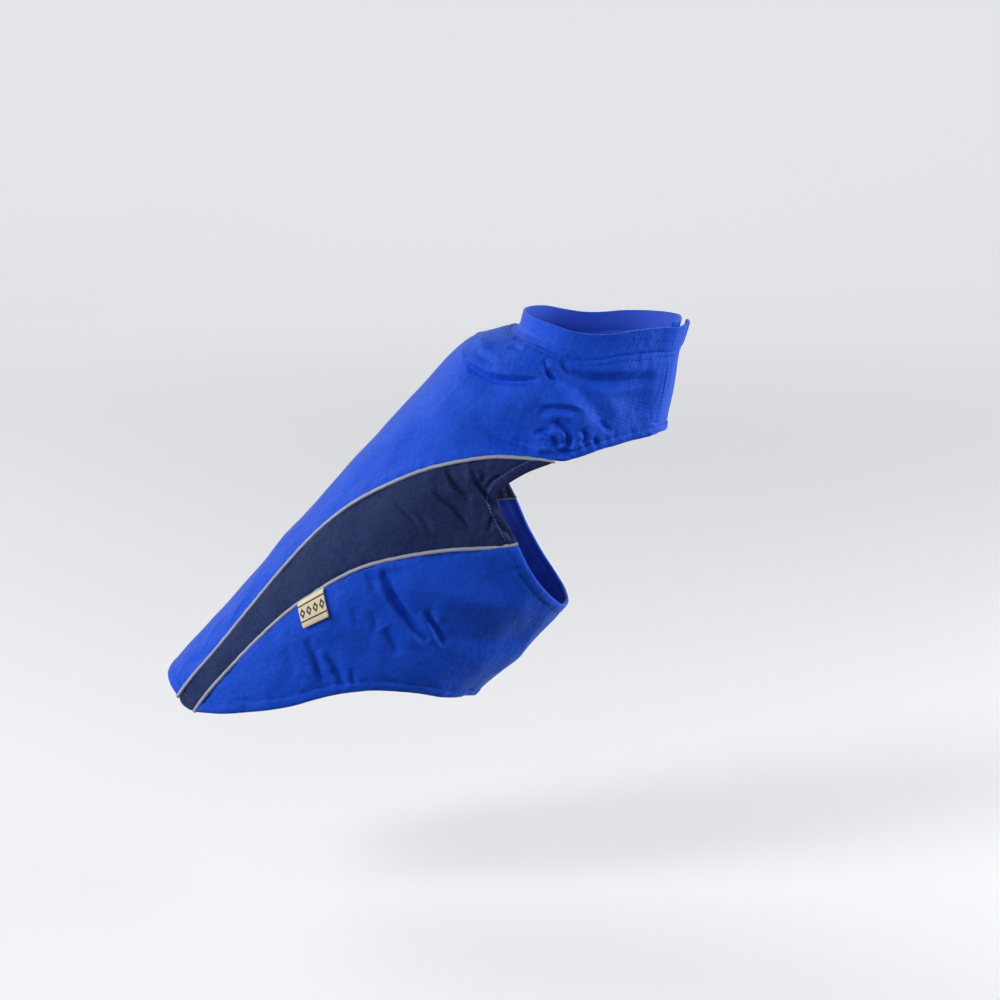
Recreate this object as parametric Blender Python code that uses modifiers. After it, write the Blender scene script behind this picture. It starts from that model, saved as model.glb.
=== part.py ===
# Dog coat of cape cut, open, in the shape it holds when worn by a small dog that sits.
# Metres, +Z up. +X is towards the wearer's head, -Y is the wearer's right side.
# The origin is at the withers, on the inner face of the cloth, where the back carries the coat.
#
# Every piece is placed on a body block, a smooth general figure of slanted rings. A place on it is
# a station, the way along the back from the tail hem, and a share, the way round from the centre
# of the back (0) to the centre of the belly (1), plus on the wearer's right and minus on the left.
import math

import bmesh
import bpy
import numpy as np

OBJECT_NAME = "dog_coat"

# ---- Driving dimensions ----
WITHERS = 0.244            # station of the origin
CLOTH = 0.0015             # wall of the cloth
SEAM_GAP = 0.0003          # between pieces that are sewn together
PIPING_RADIUS = 0.0012
PIPING_RISE = 0.0006       # piping's centre above the middle of the cloth's wall
COLLAR_HEIGHT = 0.014
COLLAR_TURN = (0.001, 0.008)    # heights between which the collar turns up from the panel
NECK_SLOPE = 75.0          # degrees above the horizon in which the neck rises
RING_SQUARENESS = 2.25     # exponent of the rings: 2 is an ellipse
OVER_LAP = 1.02            # share at which the right front edge ends, on top
UNDER_LAP = 1.20           # share at which the left front edge ends, under the right one
TAPE_WALL = 0.001          # hook tape and loop tape
TAPE_GAP = 0.0006          # between the two tapes, which lie on unlike curves
LABEL_WALL = 0.001
LABEL_LIFT = 0.0005        # clearance under the label

# ---- Grid steps ----
SEAM_STEPS = 28            # rows along the curved side seams, the same on each piece they join
FRONT_STEPS = 4            # rows up the front edge
BACK_COLUMNS = 28
SIDE_COLUMNS = 10
BELLY_COLUMNS = 26
EDGE_CROWDING = 0.15       # how much closer the back panel's columns lie towards its edges
BELLY_BOW_POWER = 1        # how soon the bow of a hem or armhole fades along the panel
SIDE_BOW_POWER = 3
PIPING_RESOLUTION = 1      # six sides
BACK_LINE_STEPS = 612
RING_STEPS = 180

# Back line of the block.
BACK_SLOPES = (
    # station, slope in degrees
    (-0.010, 54.0),
    (-0.004, 54.0),
    (0.021, 46.0),
    (0.046, 48.0),
    (0.076, 49.5),
    (0.106, 48.5),
    (0.146, 48.5),
    (0.196, 46.5),
    (0.234, 45.0),
    (0.244, 36.0),
    (0.252, 20.0),
    (0.262, 11.0),
    (0.296, 5.0),
)

# Rings of the block: each leaves the back line forwards and down.
RINGS = (
    # station, dip in degrees, depth, half width
    (-0.010, 37.0, 0.1120, 0.0495),
    (-0.004, 37.0, 0.1130, 0.0500),
    (0.032, 41.0, 0.1190, 0.0520),
    (0.072, 41.5, 0.1280, 0.0550),
    (0.122, 41.0, 0.1350, 0.0580),
    (0.167, 41.5, 0.1380, 0.0590),
    (0.204, 41.5, 0.1350, 0.0580),
    (0.225, 38.0, 0.1290, 0.0565),
    (0.243, 32.0, 0.1185, 0.0540),
    (0.254, 22.0, 0.1040, 0.0500),
    (0.266, 9.0, 0.0905, 0.0455),
    (0.277, 4.0, 0.0810, 0.0430),
    (0.296, 1.0, 0.0740, 0.0420),
)

# Seams and edges of the right side, each as rows of station and share. The left side mirrors them.
UPPER_SEAM = (
    (0.0000, 0.201),
    (0.0270, 0.187),
    (0.0540, 0.169),
    (0.0930, 0.156),
    (0.1170, 0.159),
    (0.1390, 0.181),
    (0.1670, 0.237),
    (0.1910, 0.299),
    (0.2040, 0.347),
    (0.2150, 0.403),
    (0.2230, 0.470),
    (0.2275, 0.536),
)
LOWER_SEAM = (
    (0.0000, 0.286),
    (0.0290, 0.270),
    (0.0540, 0.262),
    (0.0780, 0.264),
    (0.0980, 0.286),
    (0.1240, 0.332),
    (0.1450, 0.397),
    (0.1640, 0.469),
    (0.1750, 0.523),
    (0.1905, 0.590),
)
ARMHOLE_EDGE = (
    (0.2275, 0.536),
    (0.2180, 0.493),
    (0.2105, 0.474),
    (0.2045, 0.466),
    (0.2005, 0.473),
    (0.1977, 0.497),
    (0.1947, 0.538),
    (0.1905, 0.590),
)
CHEST_EDGE = (
    (0.2275, 0.536),
    (0.2320, 0.567),
    (0.2365, 0.598),
    (0.2415, 0.643),
    (0.2450, 0.700),
    (0.2480, 0.768),
    (0.2495, 0.826),
    (0.2500, 0.940),
    (0.2500, OVER_LAP),
)
BELLY_HEM = (
    (0.0000, 0.286),
    (0.0100, 0.353),
    (0.0230, 0.411),
    (0.0390, 0.466),
    (0.0605, 0.526),
    (0.0780, 0.600),
    (0.0930, 0.720),
    (0.1010, 0.860),
    (0.1030, 1.000),
)
BELLY_FRONT_EDGE = (
    (0.1905, 0.590),
    (0.1840, 0.660),
    (0.1790, 0.750),
    (0.1760, 0.870),
    (0.1750, 1.000),
)

# The neck seam, the same on both sides: it is lowest beside the neck.
NECK_SEAM = (
    # share, station
    (0.000, 0.2700),
    (0.140, 0.2695),
    (0.270, 0.2670),
    (0.400, 0.2640),
    (0.470, 0.2640),
    (0.545, 0.2660),
    (0.604, 0.2690),
    (0.700, 0.2725),
    (0.820, 0.2750),
    (1.020, 0.2760),
    (1.200, 0.2760),
)

# Where the row of the back panel that ends at the seam's tip crosses the centre of the back.
CENTRE_AT_TIP = 0.215

# Rows of the back panel that end on the chest edge.
CHEST_ROWS = (
    # way along the chest edge, station at the centre of the back
    (0.10, 0.2240),
    (0.20, 0.2320),
    (0.30, 0.2385),
    (0.40, 0.2435),
    (0.52, 0.2485),
    (0.66, 0.2530),
    (0.82, 0.2575),
    (1.00, 0.2615),
)

# Largest folds of the worn cloth, each a soft trough (minus) or ridge (plus) along a bowed line.
FOLDS = (
    # from station, share, to station, share, bow, half width, height
    (0.239, 0.11, 0.251, 0.40, 0.10, 0.0055, -0.0020),
    (0.257, 0.41, 0.261, 0.68, 0.06, 0.0060, -0.0018),
    (0.254, 0.40, 0.244, 0.65, 0.14, 0.0090, 0.0020),
    (0.222, 0.25, 0.232, 0.50, 0.05, 0.0090, -0.0024),
    (0.240, 0.40, 0.248, 0.57, 0.04, 0.0045, -0.0014),
    (0.242, 0.48, 0.237, 0.57, 0.16, 0.0045, -0.0018),
    (0.138, 0.36, 0.112, 0.56, 0.08, 0.0075, -0.0020),
    (0.138, 0.50, 0.116, 0.64, 0.06, 0.0075, -0.0020),
    (0.083, 0.38, 0.068, 0.53, 0.05, 0.0060, -0.0016),
    (0.204, 0.40, 0.187, 0.52, -0.10, 0.0045, -0.0016),
    (0.038, 0.17, 0.086, 0.06, 0.00, 0.0060, 0.0010),
    (0.165, 0.13, 0.205, 0.24, 0.04, 0.0100, -0.0014),
    (0.240, -0.14, 0.250, -0.42, -0.08, 0.0055, -0.0020),
    (0.256, -0.40, 0.262, -0.70, -0.06, 0.0060, -0.0018),
    (0.253, -0.42, 0.245, -0.63, -0.12, 0.0090, 0.0018),
    (0.220, -0.27, 0.233, -0.50, -0.06, 0.0090, -0.0022),
    (0.146, -0.37, 0.118, -0.57, -0.08, 0.0075, -0.0020),
    (0.126, -0.46, 0.100, -0.60, -0.05, 0.0075, -0.0018),
    (0.204, -0.40, 0.188, -0.53, 0.10, 0.0045, -0.0016),
    (0.045, -0.16, 0.100, -0.07, 0.00, 0.0060, 0.0010),
)
FOLD_SAMPLES = 13
FOLD_END_POWER = 0.75      # below 1 a fold keeps its height nearer to its ends
HALF_GIRTH = 0.19          # about, for the bow of the folds
PIPING_HOLDS = (0.002, 0.009)   # distances from the piping between which the folds set in

# Between these shares the fronts leave the block where they lap, and both tapes fit between them.
LEFT_LAP = (0.88, 0.97)
LEFT_LAP_RISE = -0.0014
RIGHT_LAP = (0.71, 0.80)
RIGHT_LAP_RISE = LEFT_LAP_RISE + CLOTH + 2 * (SEAM_GAP + TAPE_WALL) + TAPE_GAP

# Places of the small pieces on the grid of the panel that carries them.
TAPE_ROWS = (-3.6, -3.0, -2.0, -1.0, -0.5)          # counted from the neck
LOOP_TAPE_COLUMNS = (0.8, 1.0, 2.0, 3.0)            # counted from the left front edge
HOOK_TAPE_COLUMNS = (-3.5, -3.0, -2.0, -1.0, -0.3)  # counted from the right front edge
LABEL_ROWS = (12.0, 13.0, 14.0)                     # counted from the hem
LABEL_COLUMNS = (0.0, 0.6, 1.25)                    # counted from the right lower seam
LABEL_LEAN = -0.75                                  # rows towards the hem for each column

NECKBAND_HEIGHTS = (SEAM_GAP, 0.0018, 0.0040, 0.0070, 0.0100, COLLAR_HEIGHT)

MATERIALS = {
    # name: (sRGB colour, roughness)
    "royal_polyester": ((0.075, 0.255, 0.780), 0.55),
    "navy_polyester": ((0.110, 0.140, 0.310), 0.60),
    "reflective_piping": ((0.640, 0.650, 0.660), 0.45),
    "hook_and_loop": ((0.060, 0.110, 0.330), 0.85),
    "woven_label": ((0.840, 0.740, 0.520), 0.80),
}

RING_ANGLES = np.linspace(0.0, math.pi, RING_STEPS + 1)
NUDGE = 0.0002             # step for slopes along the block, in metres
SHARE_NUDGE = 0.001        # step for slopes round the block, as a share


# ---- The body block ----
def smooth_rows(rows, x):
    """Reads a table at x by a cubic curve through its rows; the first column is x."""
    table = np.asarray(rows, float)
    x = np.atleast_1d(np.asarray(x, float))
    places, values = table[:, 0], table[:, 1:]
    spans = np.diff(places)
    rates = np.diff(values, axis=0) / spans[:, None]
    slopes = np.empty_like(values)
    slopes[0], slopes[-1] = rates[0], rates[-1]
    weights = spans[:-1] + spans[1:]
    slopes[1:-1] = (rates[:-1] * spans[1:, None] + rates[1:] * spans[:-1, None]) / weights[:, None]
    i = np.clip(np.searchsorted(places, x, side="right") - 1, 0, len(places) - 2)
    span = spans[i][:, None]
    t = (x[:, None] - places[i][:, None]) / span
    start = (2 * t**3 - 3 * t**2 + 1) * values[i] + (t**3 - 2 * t**2 + t) * span * slopes[i]
    end = (3 * t**2 - 2 * t**3) * values[i + 1] + (t**3 - t**2) * span * slopes[i + 1]
    return start + end


def smooth_step(x, start, end):
    """Rises from 0 at start to 1 at end."""
    t = np.clip((np.asarray(x, float) - start) / (end - start), 0.0, 1.0)
    return t * t * (3.0 - 2.0 * t)


def make_back_line():
    """Stations and points of the back line, through the origin at the withers."""
    stations = np.linspace(BACK_SLOPES[0][0], BACK_SLOPES[-1][0], BACK_LINE_STEPS + 1)
    slopes = np.radians(smooth_rows(BACK_SLOPES, stations)[:, 0])
    middle = (slopes[1:] + slopes[:-1]) / 2.0
    steps = np.diff(stations)
    x = np.concatenate([[0.0], np.cumsum(np.cos(middle) * steps)])
    z = np.concatenate([[0.0], np.cumsum(np.sin(middle) * steps)])
    return stations, x - np.interp(WITHERS, stations, x), z - np.interp(WITHERS, stations, z)


BACK_LINE = make_back_line()


def signed_power(values, exponent):
    return np.sign(values) * np.abs(values) ** exponent


def block_points(station, share):
    """Points of the block at stations and shares, as an array of x, y and z."""
    station = np.asarray(station, float)
    share = (np.asarray(share, float) + 1.0) % 2.0 - 1.0
    dip, depth, half_width = smooth_rows(RINGS, station).T
    back_x = np.interp(station, BACK_LINE[0], BACK_LINE[1])
    back_z = np.interp(station, BACK_LINE[0], BACK_LINE[2])
    power = 2.0 / RING_SQUARENESS
    drop_shape = (1.0 - signed_power(np.cos(RING_ANGLES), power)) / 2.0
    side_shape = signed_power(np.sin(RING_ANGLES), power)
    points = np.empty((len(station), 3))
    for i in range(len(station)):
        drop = depth[i] * drop_shape
        side = half_width[i] * side_shape
        run = np.concatenate([[0.0], np.cumsum(np.hypot(np.diff(drop), np.diff(side)))])
        here = abs(share[i]) * run[-1]
        forward = np.interp(here, run, drop)
        angle = math.radians(dip[i])
        points[i, 0] = back_x[i] + forward * math.cos(angle)
        points[i, 1] = -math.copysign(np.interp(here, run, side), share[i])
        points[i, 2] = back_z[i] - forward * math.sin(angle)
    return points


def block_slopes(station, share):
    """How a point of the block moves per metre of station and per unit of share."""
    by_station = (block_points(station + NUDGE, share) - block_points(station - NUDGE, share)) / (2 * NUDGE)
    ahead = block_points(station, share + SHARE_NUDGE)
    behind = block_points(station, share - SHARE_NUDGE)
    return by_station, (ahead - behind) / (2 * SHARE_NUDGE)


def unit(vectors):
    return vectors / np.linalg.norm(vectors, axis=-1, keepdims=True)


def fold_line(fold):
    """Points of the bowed centre line of a fold on the block."""
    start_station, start_share, end_station, end_share, bow = fold[:5]
    t = np.linspace(0.0, 1.0, FOLD_SAMPLES)
    along = end_station - start_station
    around = (end_share - start_share) * HALF_GIRTH
    arch = 4.0 * t * (1.0 - t) * bow
    station = start_station + along * t - around * arch
    share = start_share + (around * t + along * arch) / HALF_GIRTH
    return block_points(station, share)


def seam_line(rows, side):
    """Points of a side seam on the block."""
    line = line_samples(rows, SEAM_STEPS)
    return block_points(line[:, 0], side * line[:, 1])


def line_distance(points, line):
    """Distance from each point to a line of points, and how far along the line that is, 0 to 1."""
    steps = np.diff(line, axis=0)
    offsets = points[:, None, :] - line[None, :-1, :]
    t = np.clip((offsets * steps).sum(2) / (steps * steps).sum(1), 0.0, 1.0)
    distance = np.linalg.norm(offsets - t[:, :, None] * steps, axis=2)
    nearest = distance.argmin(axis=1)
    rows = np.arange(len(points))
    return distance[rows, nearest], (nearest + t[rows, nearest]) / len(steps)


def fold_height(points):
    """Height of the cloth over the block at its points, from all the folds."""
    height = np.zeros(len(points))
    for fold in FOLDS:
        half_width, rise = fold[5:]
        distance, way = line_distance(points, fold_line(fold))
        across = np.clip(distance / (2.0 * half_width), 0.0, 1.0)
        lengthwise = np.sin(math.pi * way) ** FOLD_END_POWER
        height += rise * lengthwise * (1.0 + np.cos(math.pi * across)) / 2.0
    for rows in (UPPER_SEAM, LOWER_SEAM):
        for side in (1.0, -1.0):
            distance = line_distance(points, seam_line(rows, side))[0]
            height *= smooth_step(distance, *PIPING_HOLDS)
    return height


def cloth_points(station, share, out=0.0):
    """Points in the middle of the cloth's wall, raised by the folds and by out."""
    station = np.asarray(station, float)
    share = np.asarray(share, float)
    flat_station, flat_share = station.ravel(), share.ravel()
    points = block_points(flat_station, flat_share)
    by_station, by_share = block_slopes(flat_station, flat_share)
    outward = unit(np.cross(by_share, by_station))
    lift = CLOTH / 2.0 + fold_height(points) + np.broadcast_to(out, station.shape).ravel()
    return (points + outward * lift[:, None]).reshape(station.shape + (3,))


# ---- Lines on the block ----
def line_samples(rows, steps):
    """Stations and shares at equal ways along a seam or edge."""
    return line_at_ways(rows, np.linspace(0.0, 1.0, steps + 1))


def line_at_ways(rows, ways):
    """Stations and shares at ways along a seam or edge, from 0 at its start to 1 at its end."""
    rows = np.asarray(rows, float)
    run = np.linalg.norm(np.diff(block_points(rows[:, 0], rows[:, 1]), axis=0), axis=1)
    way = np.concatenate([[0.0], np.cumsum(run)])
    return smooth_rows(np.column_stack([way / way[-1], rows]), ways)


def move_across(line, distance):
    """Moves a line sideways over the block, towards the belly where distance is plus."""
    station, share = line[:, 0], line[:, 1]
    along = unit(np.gradient(block_points(station, share), axis=0))
    by_station, by_share = block_slopes(station, share)
    outward = unit(np.cross(by_share, by_station))
    sideways = np.cross(along, outward) * distance
    a, b = (by_station**2).sum(1), (by_share**2).sum(1)
    c = (by_station * by_share).sum(1)
    p, q = (sideways * by_station).sum(1), (sideways * by_share).sum(1)
    area = a * b - c * c
    step = np.column_stack([(p * b - q * c) / area, (q * a - p * c) / area])
    return line + step


def fit_ends(line, start, end):
    """Shifts a line so that it runs exactly from start to end."""
    t = np.linspace(0.0, 1.0, len(line))[:, None]
    return line + (1.0 - t) * (start - line[0]) + t * (end - line[-1])


def fill_patch(first, last, start, end, bow_power):
    """Rows of places between four lines: first and last run along, start and end run across.

    The bows of start and end fade along the patch, the sooner the higher the power.
    """
    start = fit_ends(start, first[0], last[0])
    end = fit_ends(end, first[-1], last[-1])
    u = np.linspace(0.0, 1.0, len(first))[:, None, None]
    v = np.linspace(0.0, 1.0, len(start))[None, :, None]
    across = (1 - v) * first[:, None] + v * last[:, None]
    return across + (1 - u) ** bow_power * (start - across[0]) + u**bow_power * (end - across[-1])


def mirrored(places):
    """The same places on the other side, with the share still rising along each row."""
    flipped = places[:, ::-1].copy()
    flipped[:, :, 1] *= -1.0
    return flipped


# ---- Meshes and materials ----
def srgb_to_linear(value):
    if value <= 0.04045:
        return value / 12.92
    return ((value + 0.055) / 1.055) ** 2.4


def make_material(name):
    colour, roughness = MATERIALS[name]
    material = bpy.data.materials.new(name)
    material.use_nodes = True
    shader = material.node_tree.nodes["Principled BSDF"]
    linear = [srgb_to_linear(channel) for channel in colour]
    shader.inputs["Base Color"].default_value = (*linear, 1.0)
    shader.inputs["Roughness"].default_value = roughness
    shader.inputs["Metallic"].default_value = 0.0
    return material


def link_object(name, data, material_name):
    data.materials.append(make_material(material_name))
    piece = bpy.data.objects.new(name, data)
    bpy.data.collections[OBJECT_NAME].objects.link(piece)
    return piece


def make_wall(name, material_name, points, thickness=CLOTH):
    """A grid moved to rows of points in the middle of a wall, and given its thickness."""
    rows, columns = points.shape[:2]
    mesh = bpy.data.meshes.new(name)
    grid = bmesh.new()
    bmesh.ops.create_grid(grid, x_segments=columns - 1, y_segments=rows - 1, size=1.0)
    for vert in grid.verts:
        column = round((vert.co.x + 1.0) / 2.0 * (columns - 1))
        row = round((vert.co.y + 1.0) / 2.0 * (rows - 1))
        vert.co = points[row, column]
    grid.to_mesh(mesh)
    grid.free()
    mesh.shade_smooth()
    piece = link_object(name, mesh, material_name)
    wall = piece.modifiers.new("wall", "SOLIDIFY")
    wall.thickness = thickness
    wall.offset = 0.0
    return piece


def panel_places(points, row_steps, column_steps, out):
    """Places on a panel at steps of its own grid, whole or part, moved out from its middle."""
    rows, columns = points.shape[:2]
    by_column = np.gradient(points, axis=1)
    by_row = np.gradient(points, axis=0)
    raised = points + unit(np.cross(by_column, by_row)) * out
    row_steps, column_steps = np.broadcast_arrays(row_steps, column_steps)
    row = np.clip(np.floor(row_steps).astype(int), 0, rows - 2)
    column = np.clip(np.floor(column_steps).astype(int), 0, columns - 2)
    r = (row_steps - row)[..., None]
    c = (column_steps - column)[..., None]
    near = raised[row, column] * (1 - c) + raised[row, column + 1] * c
    far = raised[row + 1, column] * (1 - c) + raised[row + 1, column + 1] * c
    return near * (1 - r) + far * r


# ---- The pieces ----
def seam_edge(rows, distance):
    """Edge of a piece along a piped seam, on one side of the piping."""
    return move_across(line_samples(rows, SEAM_STEPS), distance)


def lap_rise(share):
    """How far the fronts stand off the block: the right one over the tapes, the left one under."""
    right = RIGHT_LAP_RISE * smooth_step(share, *RIGHT_LAP)
    left = LEFT_LAP_RISE * smooth_step(-share, *LEFT_LAP)
    return right + left


def back_side_edge(lap):
    """Edge of the back panel from the hem up the seam, along the chest and up the front."""
    half_seam = PIPING_RADIUS + SEAM_GAP
    seam = seam_edge(UPPER_SEAM, -half_seam)
    chest_rows = CHEST_EDGE[:-1] + ((CHEST_EDGE[-1][0], lap),)
    chest = line_at_ways(chest_rows, [way for way, _ in CHEST_ROWS])
    neck_station = smooth_rows(NECK_SEAM, lap)[0, 0]
    front_stations = np.linspace(chest[-1, 0], neck_station, FRONT_STEPS + 1)[1:]
    front = np.column_stack([front_stations, np.full(FRONT_STEPS, lap)])
    return np.concatenate([seam, chest, front])


def back_panel_places():
    """Stations and shares of the back panel: rows from the left edge over the back to the right."""
    right, left = back_side_edge(OVER_LAP), back_side_edge(UNDER_LAP)
    centre = np.concatenate([
        right[:SEAM_STEPS + 1, 0] * CENTRE_AT_TIP / UPPER_SEAM[-1][0],
        [station for _, station in CHEST_ROWS],
        np.linspace(CHEST_ROWS[-1][1], NECK_SEAM[0][1], FRONT_STEPS + 1)[1:],
    ])
    even = np.linspace(-1.0, 1.0, BACK_COLUMNS + 1)
    across = even * (1.0 + EDGE_CROWDING - EDGE_CROWDING * even**2)
    edge = np.where(across[None, :, None] < 0, left[:, None], right[:, None])
    station = centre[:, None] + (edge[:, :, 0] - centre[:, None]) * across**2
    share = edge[:, :, 1] * across
    neck_station = smooth_rows(NECK_SEAM, np.abs(share[-1]))[:, 0]
    rows_left = np.arange(len(centre)) - SEAM_STEPS
    neck_pull = np.clip(rows_left / rows_left[-1], 0.0, 1.0) ** 2
    station = station + neck_pull[:, None] * (neck_station - station[-1])
    return station, share


def make_back_panel():
    station, share = back_panel_places()
    points = cloth_points(station, share, lap_rise(share))
    make_wall("back_panel", "royal_polyester", points)
    return points


def make_neckband(back_points):
    """Stand collar: it leaves the panel's neck edge in line with the panel and turns up the neck."""
    base = back_points[-1]
    leave = unit(back_points[-1] - back_points[-2])
    slope = math.radians(NECK_SLOPE)
    up_neck = np.array([math.cos(slope), 0.0, math.sin(slope)])
    rows = [base + leave * NECKBAND_HEIGHTS[0]]
    for low, high in zip(NECKBAND_HEIGHTS[:-1], NECKBAND_HEIGHTS[1:]):
        turn = smooth_step((low + high) / 2.0, *COLLAR_TURN)
        rows.append(rows[-1] + unit(leave * (1.0 - turn) + up_neck * turn) * (high - low))
    make_wall("neckband", "royal_polyester", np.array(rows))


def make_front_tapes(back_points):
    """Hook tape inside the right front and loop tape on the left front, where they lap."""
    rows = np.array(TAPE_ROWS)[:, None] + len(back_points) - 1
    stand_off = CLOTH / 2.0 + SEAM_GAP + TAPE_WALL / 2.0
    left_columns = np.array(LOOP_TAPE_COLUMNS)[None, :]
    loop = panel_places(back_points, rows, left_columns, stand_off)
    make_wall("front_loop_tape", "hook_and_loop", loop, TAPE_WALL)
    right_columns = np.array(HOOK_TAPE_COLUMNS)[None, :] + BACK_COLUMNS
    hook = panel_places(back_points, rows, right_columns, -stand_off)
    make_wall("front_hook_tape", "hook_and_loop", hook, TAPE_WALL)


def make_side_panels():
    """Navy inserts, narrow at the hem and wide at the armhole."""
    half_seam = PIPING_RADIUS + SEAM_GAP
    upper = seam_edge(UPPER_SEAM, half_seam)
    lower = seam_edge(LOWER_SEAM, -half_seam)
    hem = np.linspace(upper[0], lower[0], SIDE_COLUMNS + 1)
    armhole = line_samples(ARMHOLE_EDGE, SIDE_COLUMNS)
    right = fill_patch(upper, lower, hem, armhole, SIDE_BOW_POWER)
    for name, places in (("side_panel_right", right), ("side_panel_left", mirrored(right))):
        make_wall(name, "navy_polyester", cloth_points(places[:, :, 0], places[:, :, 1]))


def make_belly_panel():
    """One piece from the right lower seam, under the belly, to the left lower seam."""
    half_seam = PIPING_RADIUS + SEAM_GAP
    right = seam_edge(LOWER_SEAM, half_seam)
    to_left = np.array([0.0, 2.0])
    flip = np.array([1.0, -1.0])
    left = to_left + flip * right
    half = BELLY_COLUMNS // 2
    hem = line_samples(BELLY_HEM, half)
    front = line_samples(BELLY_FRONT_EDGE, half)
    whole_hem = np.concatenate([hem, (to_left + flip * hem[:-1])[::-1]])
    whole_front = np.concatenate([front, (to_left + flip * front[:-1])[::-1]])
    places = fill_patch(right, left, whole_hem, whole_front, BELLY_BOW_POWER)
    points = cloth_points(places[:, :, 0], places[:, :, 1])
    make_wall("belly_panel", "royal_polyester", points)
    return points


def make_label(belly_points):
    """Folded tab caught in the right lower seam, lying over the belly panel."""
    rows = np.array(LABEL_ROWS)[:, None]
    columns = np.array(LABEL_COLUMNS)[None, :]
    stand_off = (CLOTH + LABEL_WALL) / 2.0 + LABEL_LIFT
    tab = panel_places(belly_points, rows + LABEL_LEAN * columns, columns, stand_off)
    make_wall("woven_label", "woven_label", tab, LABEL_WALL)


def make_piping(name, seam, side):
    """Piping in a side seam, a tube that lies between the two panel edges."""
    line = line_samples(seam, SEAM_STEPS)
    points = cloth_points(line[:, 0], side * line[:, 1], PIPING_RISE)
    curve = bpy.data.curves.new(name, "CURVE")
    curve.dimensions = "3D"
    curve.bevel_depth = PIPING_RADIUS
    curve.bevel_resolution = PIPING_RESOLUTION
    curve.use_fill_caps = True
    spline = curve.splines.new("POLY")
    spline.points.add(len(points) - 1)
    for spline_point, point in zip(spline.points, points):
        spline_point.co = (*point, 1.0)
    link_object(name, curve, "reflective_piping")


def clear_scene():
    for item in list(bpy.data.objects):
        bpy.data.objects.remove(item)


def main():
    clear_scene()
    collection = bpy.data.collections.new(OBJECT_NAME)
    bpy.context.scene.collection.children.link(collection)
    back_points = make_back_panel()
    make_neckband(back_points)
    make_front_tapes(back_points)
    make_side_panels()
    belly_points = make_belly_panel()
    make_label(belly_points)
    for side_name, side in (("right", 1.0), ("left", -1.0)):
        make_piping("piping_upper_" + side_name, UPPER_SEAM, side)
        make_piping("piping_lower_" + side_name, LOWER_SEAM, side)


main()
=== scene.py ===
import functools
import math

import bmesh
import bpy
import numpy as np
from bpy.props import FloatProperty, FloatVectorProperty, PointerProperty
from bpy.types import Operator, Panel, PropertyGroup
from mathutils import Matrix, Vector


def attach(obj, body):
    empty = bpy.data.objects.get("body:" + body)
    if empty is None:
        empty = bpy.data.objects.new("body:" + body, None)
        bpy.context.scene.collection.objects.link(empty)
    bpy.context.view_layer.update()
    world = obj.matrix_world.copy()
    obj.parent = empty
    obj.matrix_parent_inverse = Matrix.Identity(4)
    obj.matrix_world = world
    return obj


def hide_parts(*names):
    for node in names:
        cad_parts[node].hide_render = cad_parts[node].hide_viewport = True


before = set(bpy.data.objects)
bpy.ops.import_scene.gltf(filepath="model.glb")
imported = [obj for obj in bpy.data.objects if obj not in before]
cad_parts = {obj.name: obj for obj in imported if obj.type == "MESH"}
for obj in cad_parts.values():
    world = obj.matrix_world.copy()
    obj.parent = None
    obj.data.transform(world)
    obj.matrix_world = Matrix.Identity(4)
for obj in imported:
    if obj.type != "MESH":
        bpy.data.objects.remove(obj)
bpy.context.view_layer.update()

bl_info = {
    "name": "Dog coat",
    "version": (1, 0, 0),
    "blender": (4, 5, 0),
    "location": "View3D > Sidebar > Dog coat",
    "description": "Models the cloth, piping, stitching and label of a small dog's cape coat",
    "category": "Object",
}

MM = 0.001
WAVE_REPEAT = math.pi / 10.0    # a wave texture at scale 1 repeats after this length

# ---- Sizes shared with the solids ----
WITHERS = 0.244            # station of the origin
CLOTH = 0.0015             # wall of the cloth
COLLAR_HEIGHT = 0.014
COLLAR_TURN = (0.001, 0.008)
COLLAR_TUCK = 0.0009       # how far the collar starts inside the neck seam
NECK_SLOPE = 75.0
RING_SQUARENESS = 2.25
OVER_LAP = 1.02            # share at which the right front edge ends, on top
UNDER_LAP = 1.20           # share at which the left front edge ends, under the right one
PIPING_RADIUS = 0.00108
PIPING_RISE = 0.0006       # piping's centre above the middle of the cloth's wall
TAPE_WALL = 0.001
HALF_GIRTH = 0.19

BACK_SLOPES = (
    # station, slope in degrees
    (-0.010, 54.0), (-0.004, 54.0), (0.021, 46.0), (0.046, 48.0), (0.076, 49.5), (0.106, 48.5),
    (0.146, 48.5), (0.196, 46.5), (0.234, 45.0), (0.244, 36.0), (0.252, 20.0), (0.262, 11.0),
    (0.296, 5.0),
)
RINGS = (
    # station, dip in degrees, depth, half width
    (-0.010, 37.0, 0.1120, 0.0495), (-0.004, 37.0, 0.1130, 0.0500), (0.032, 41.0, 0.1190, 0.0520),
    (0.072, 41.5, 0.1280, 0.0550), (0.122, 41.0, 0.1350, 0.0580), (0.167, 41.5, 0.1380, 0.0590),
    (0.204, 41.5, 0.1350, 0.0580), (0.225, 38.0, 0.1290, 0.0565), (0.243, 32.0, 0.1185, 0.0540),
    (0.254, 22.0, 0.1040, 0.0500), (0.266, 9.0, 0.0905, 0.0455), (0.277, 4.0, 0.0810, 0.0430),
    (0.296, 1.0, 0.0740, 0.0420),
)

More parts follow.
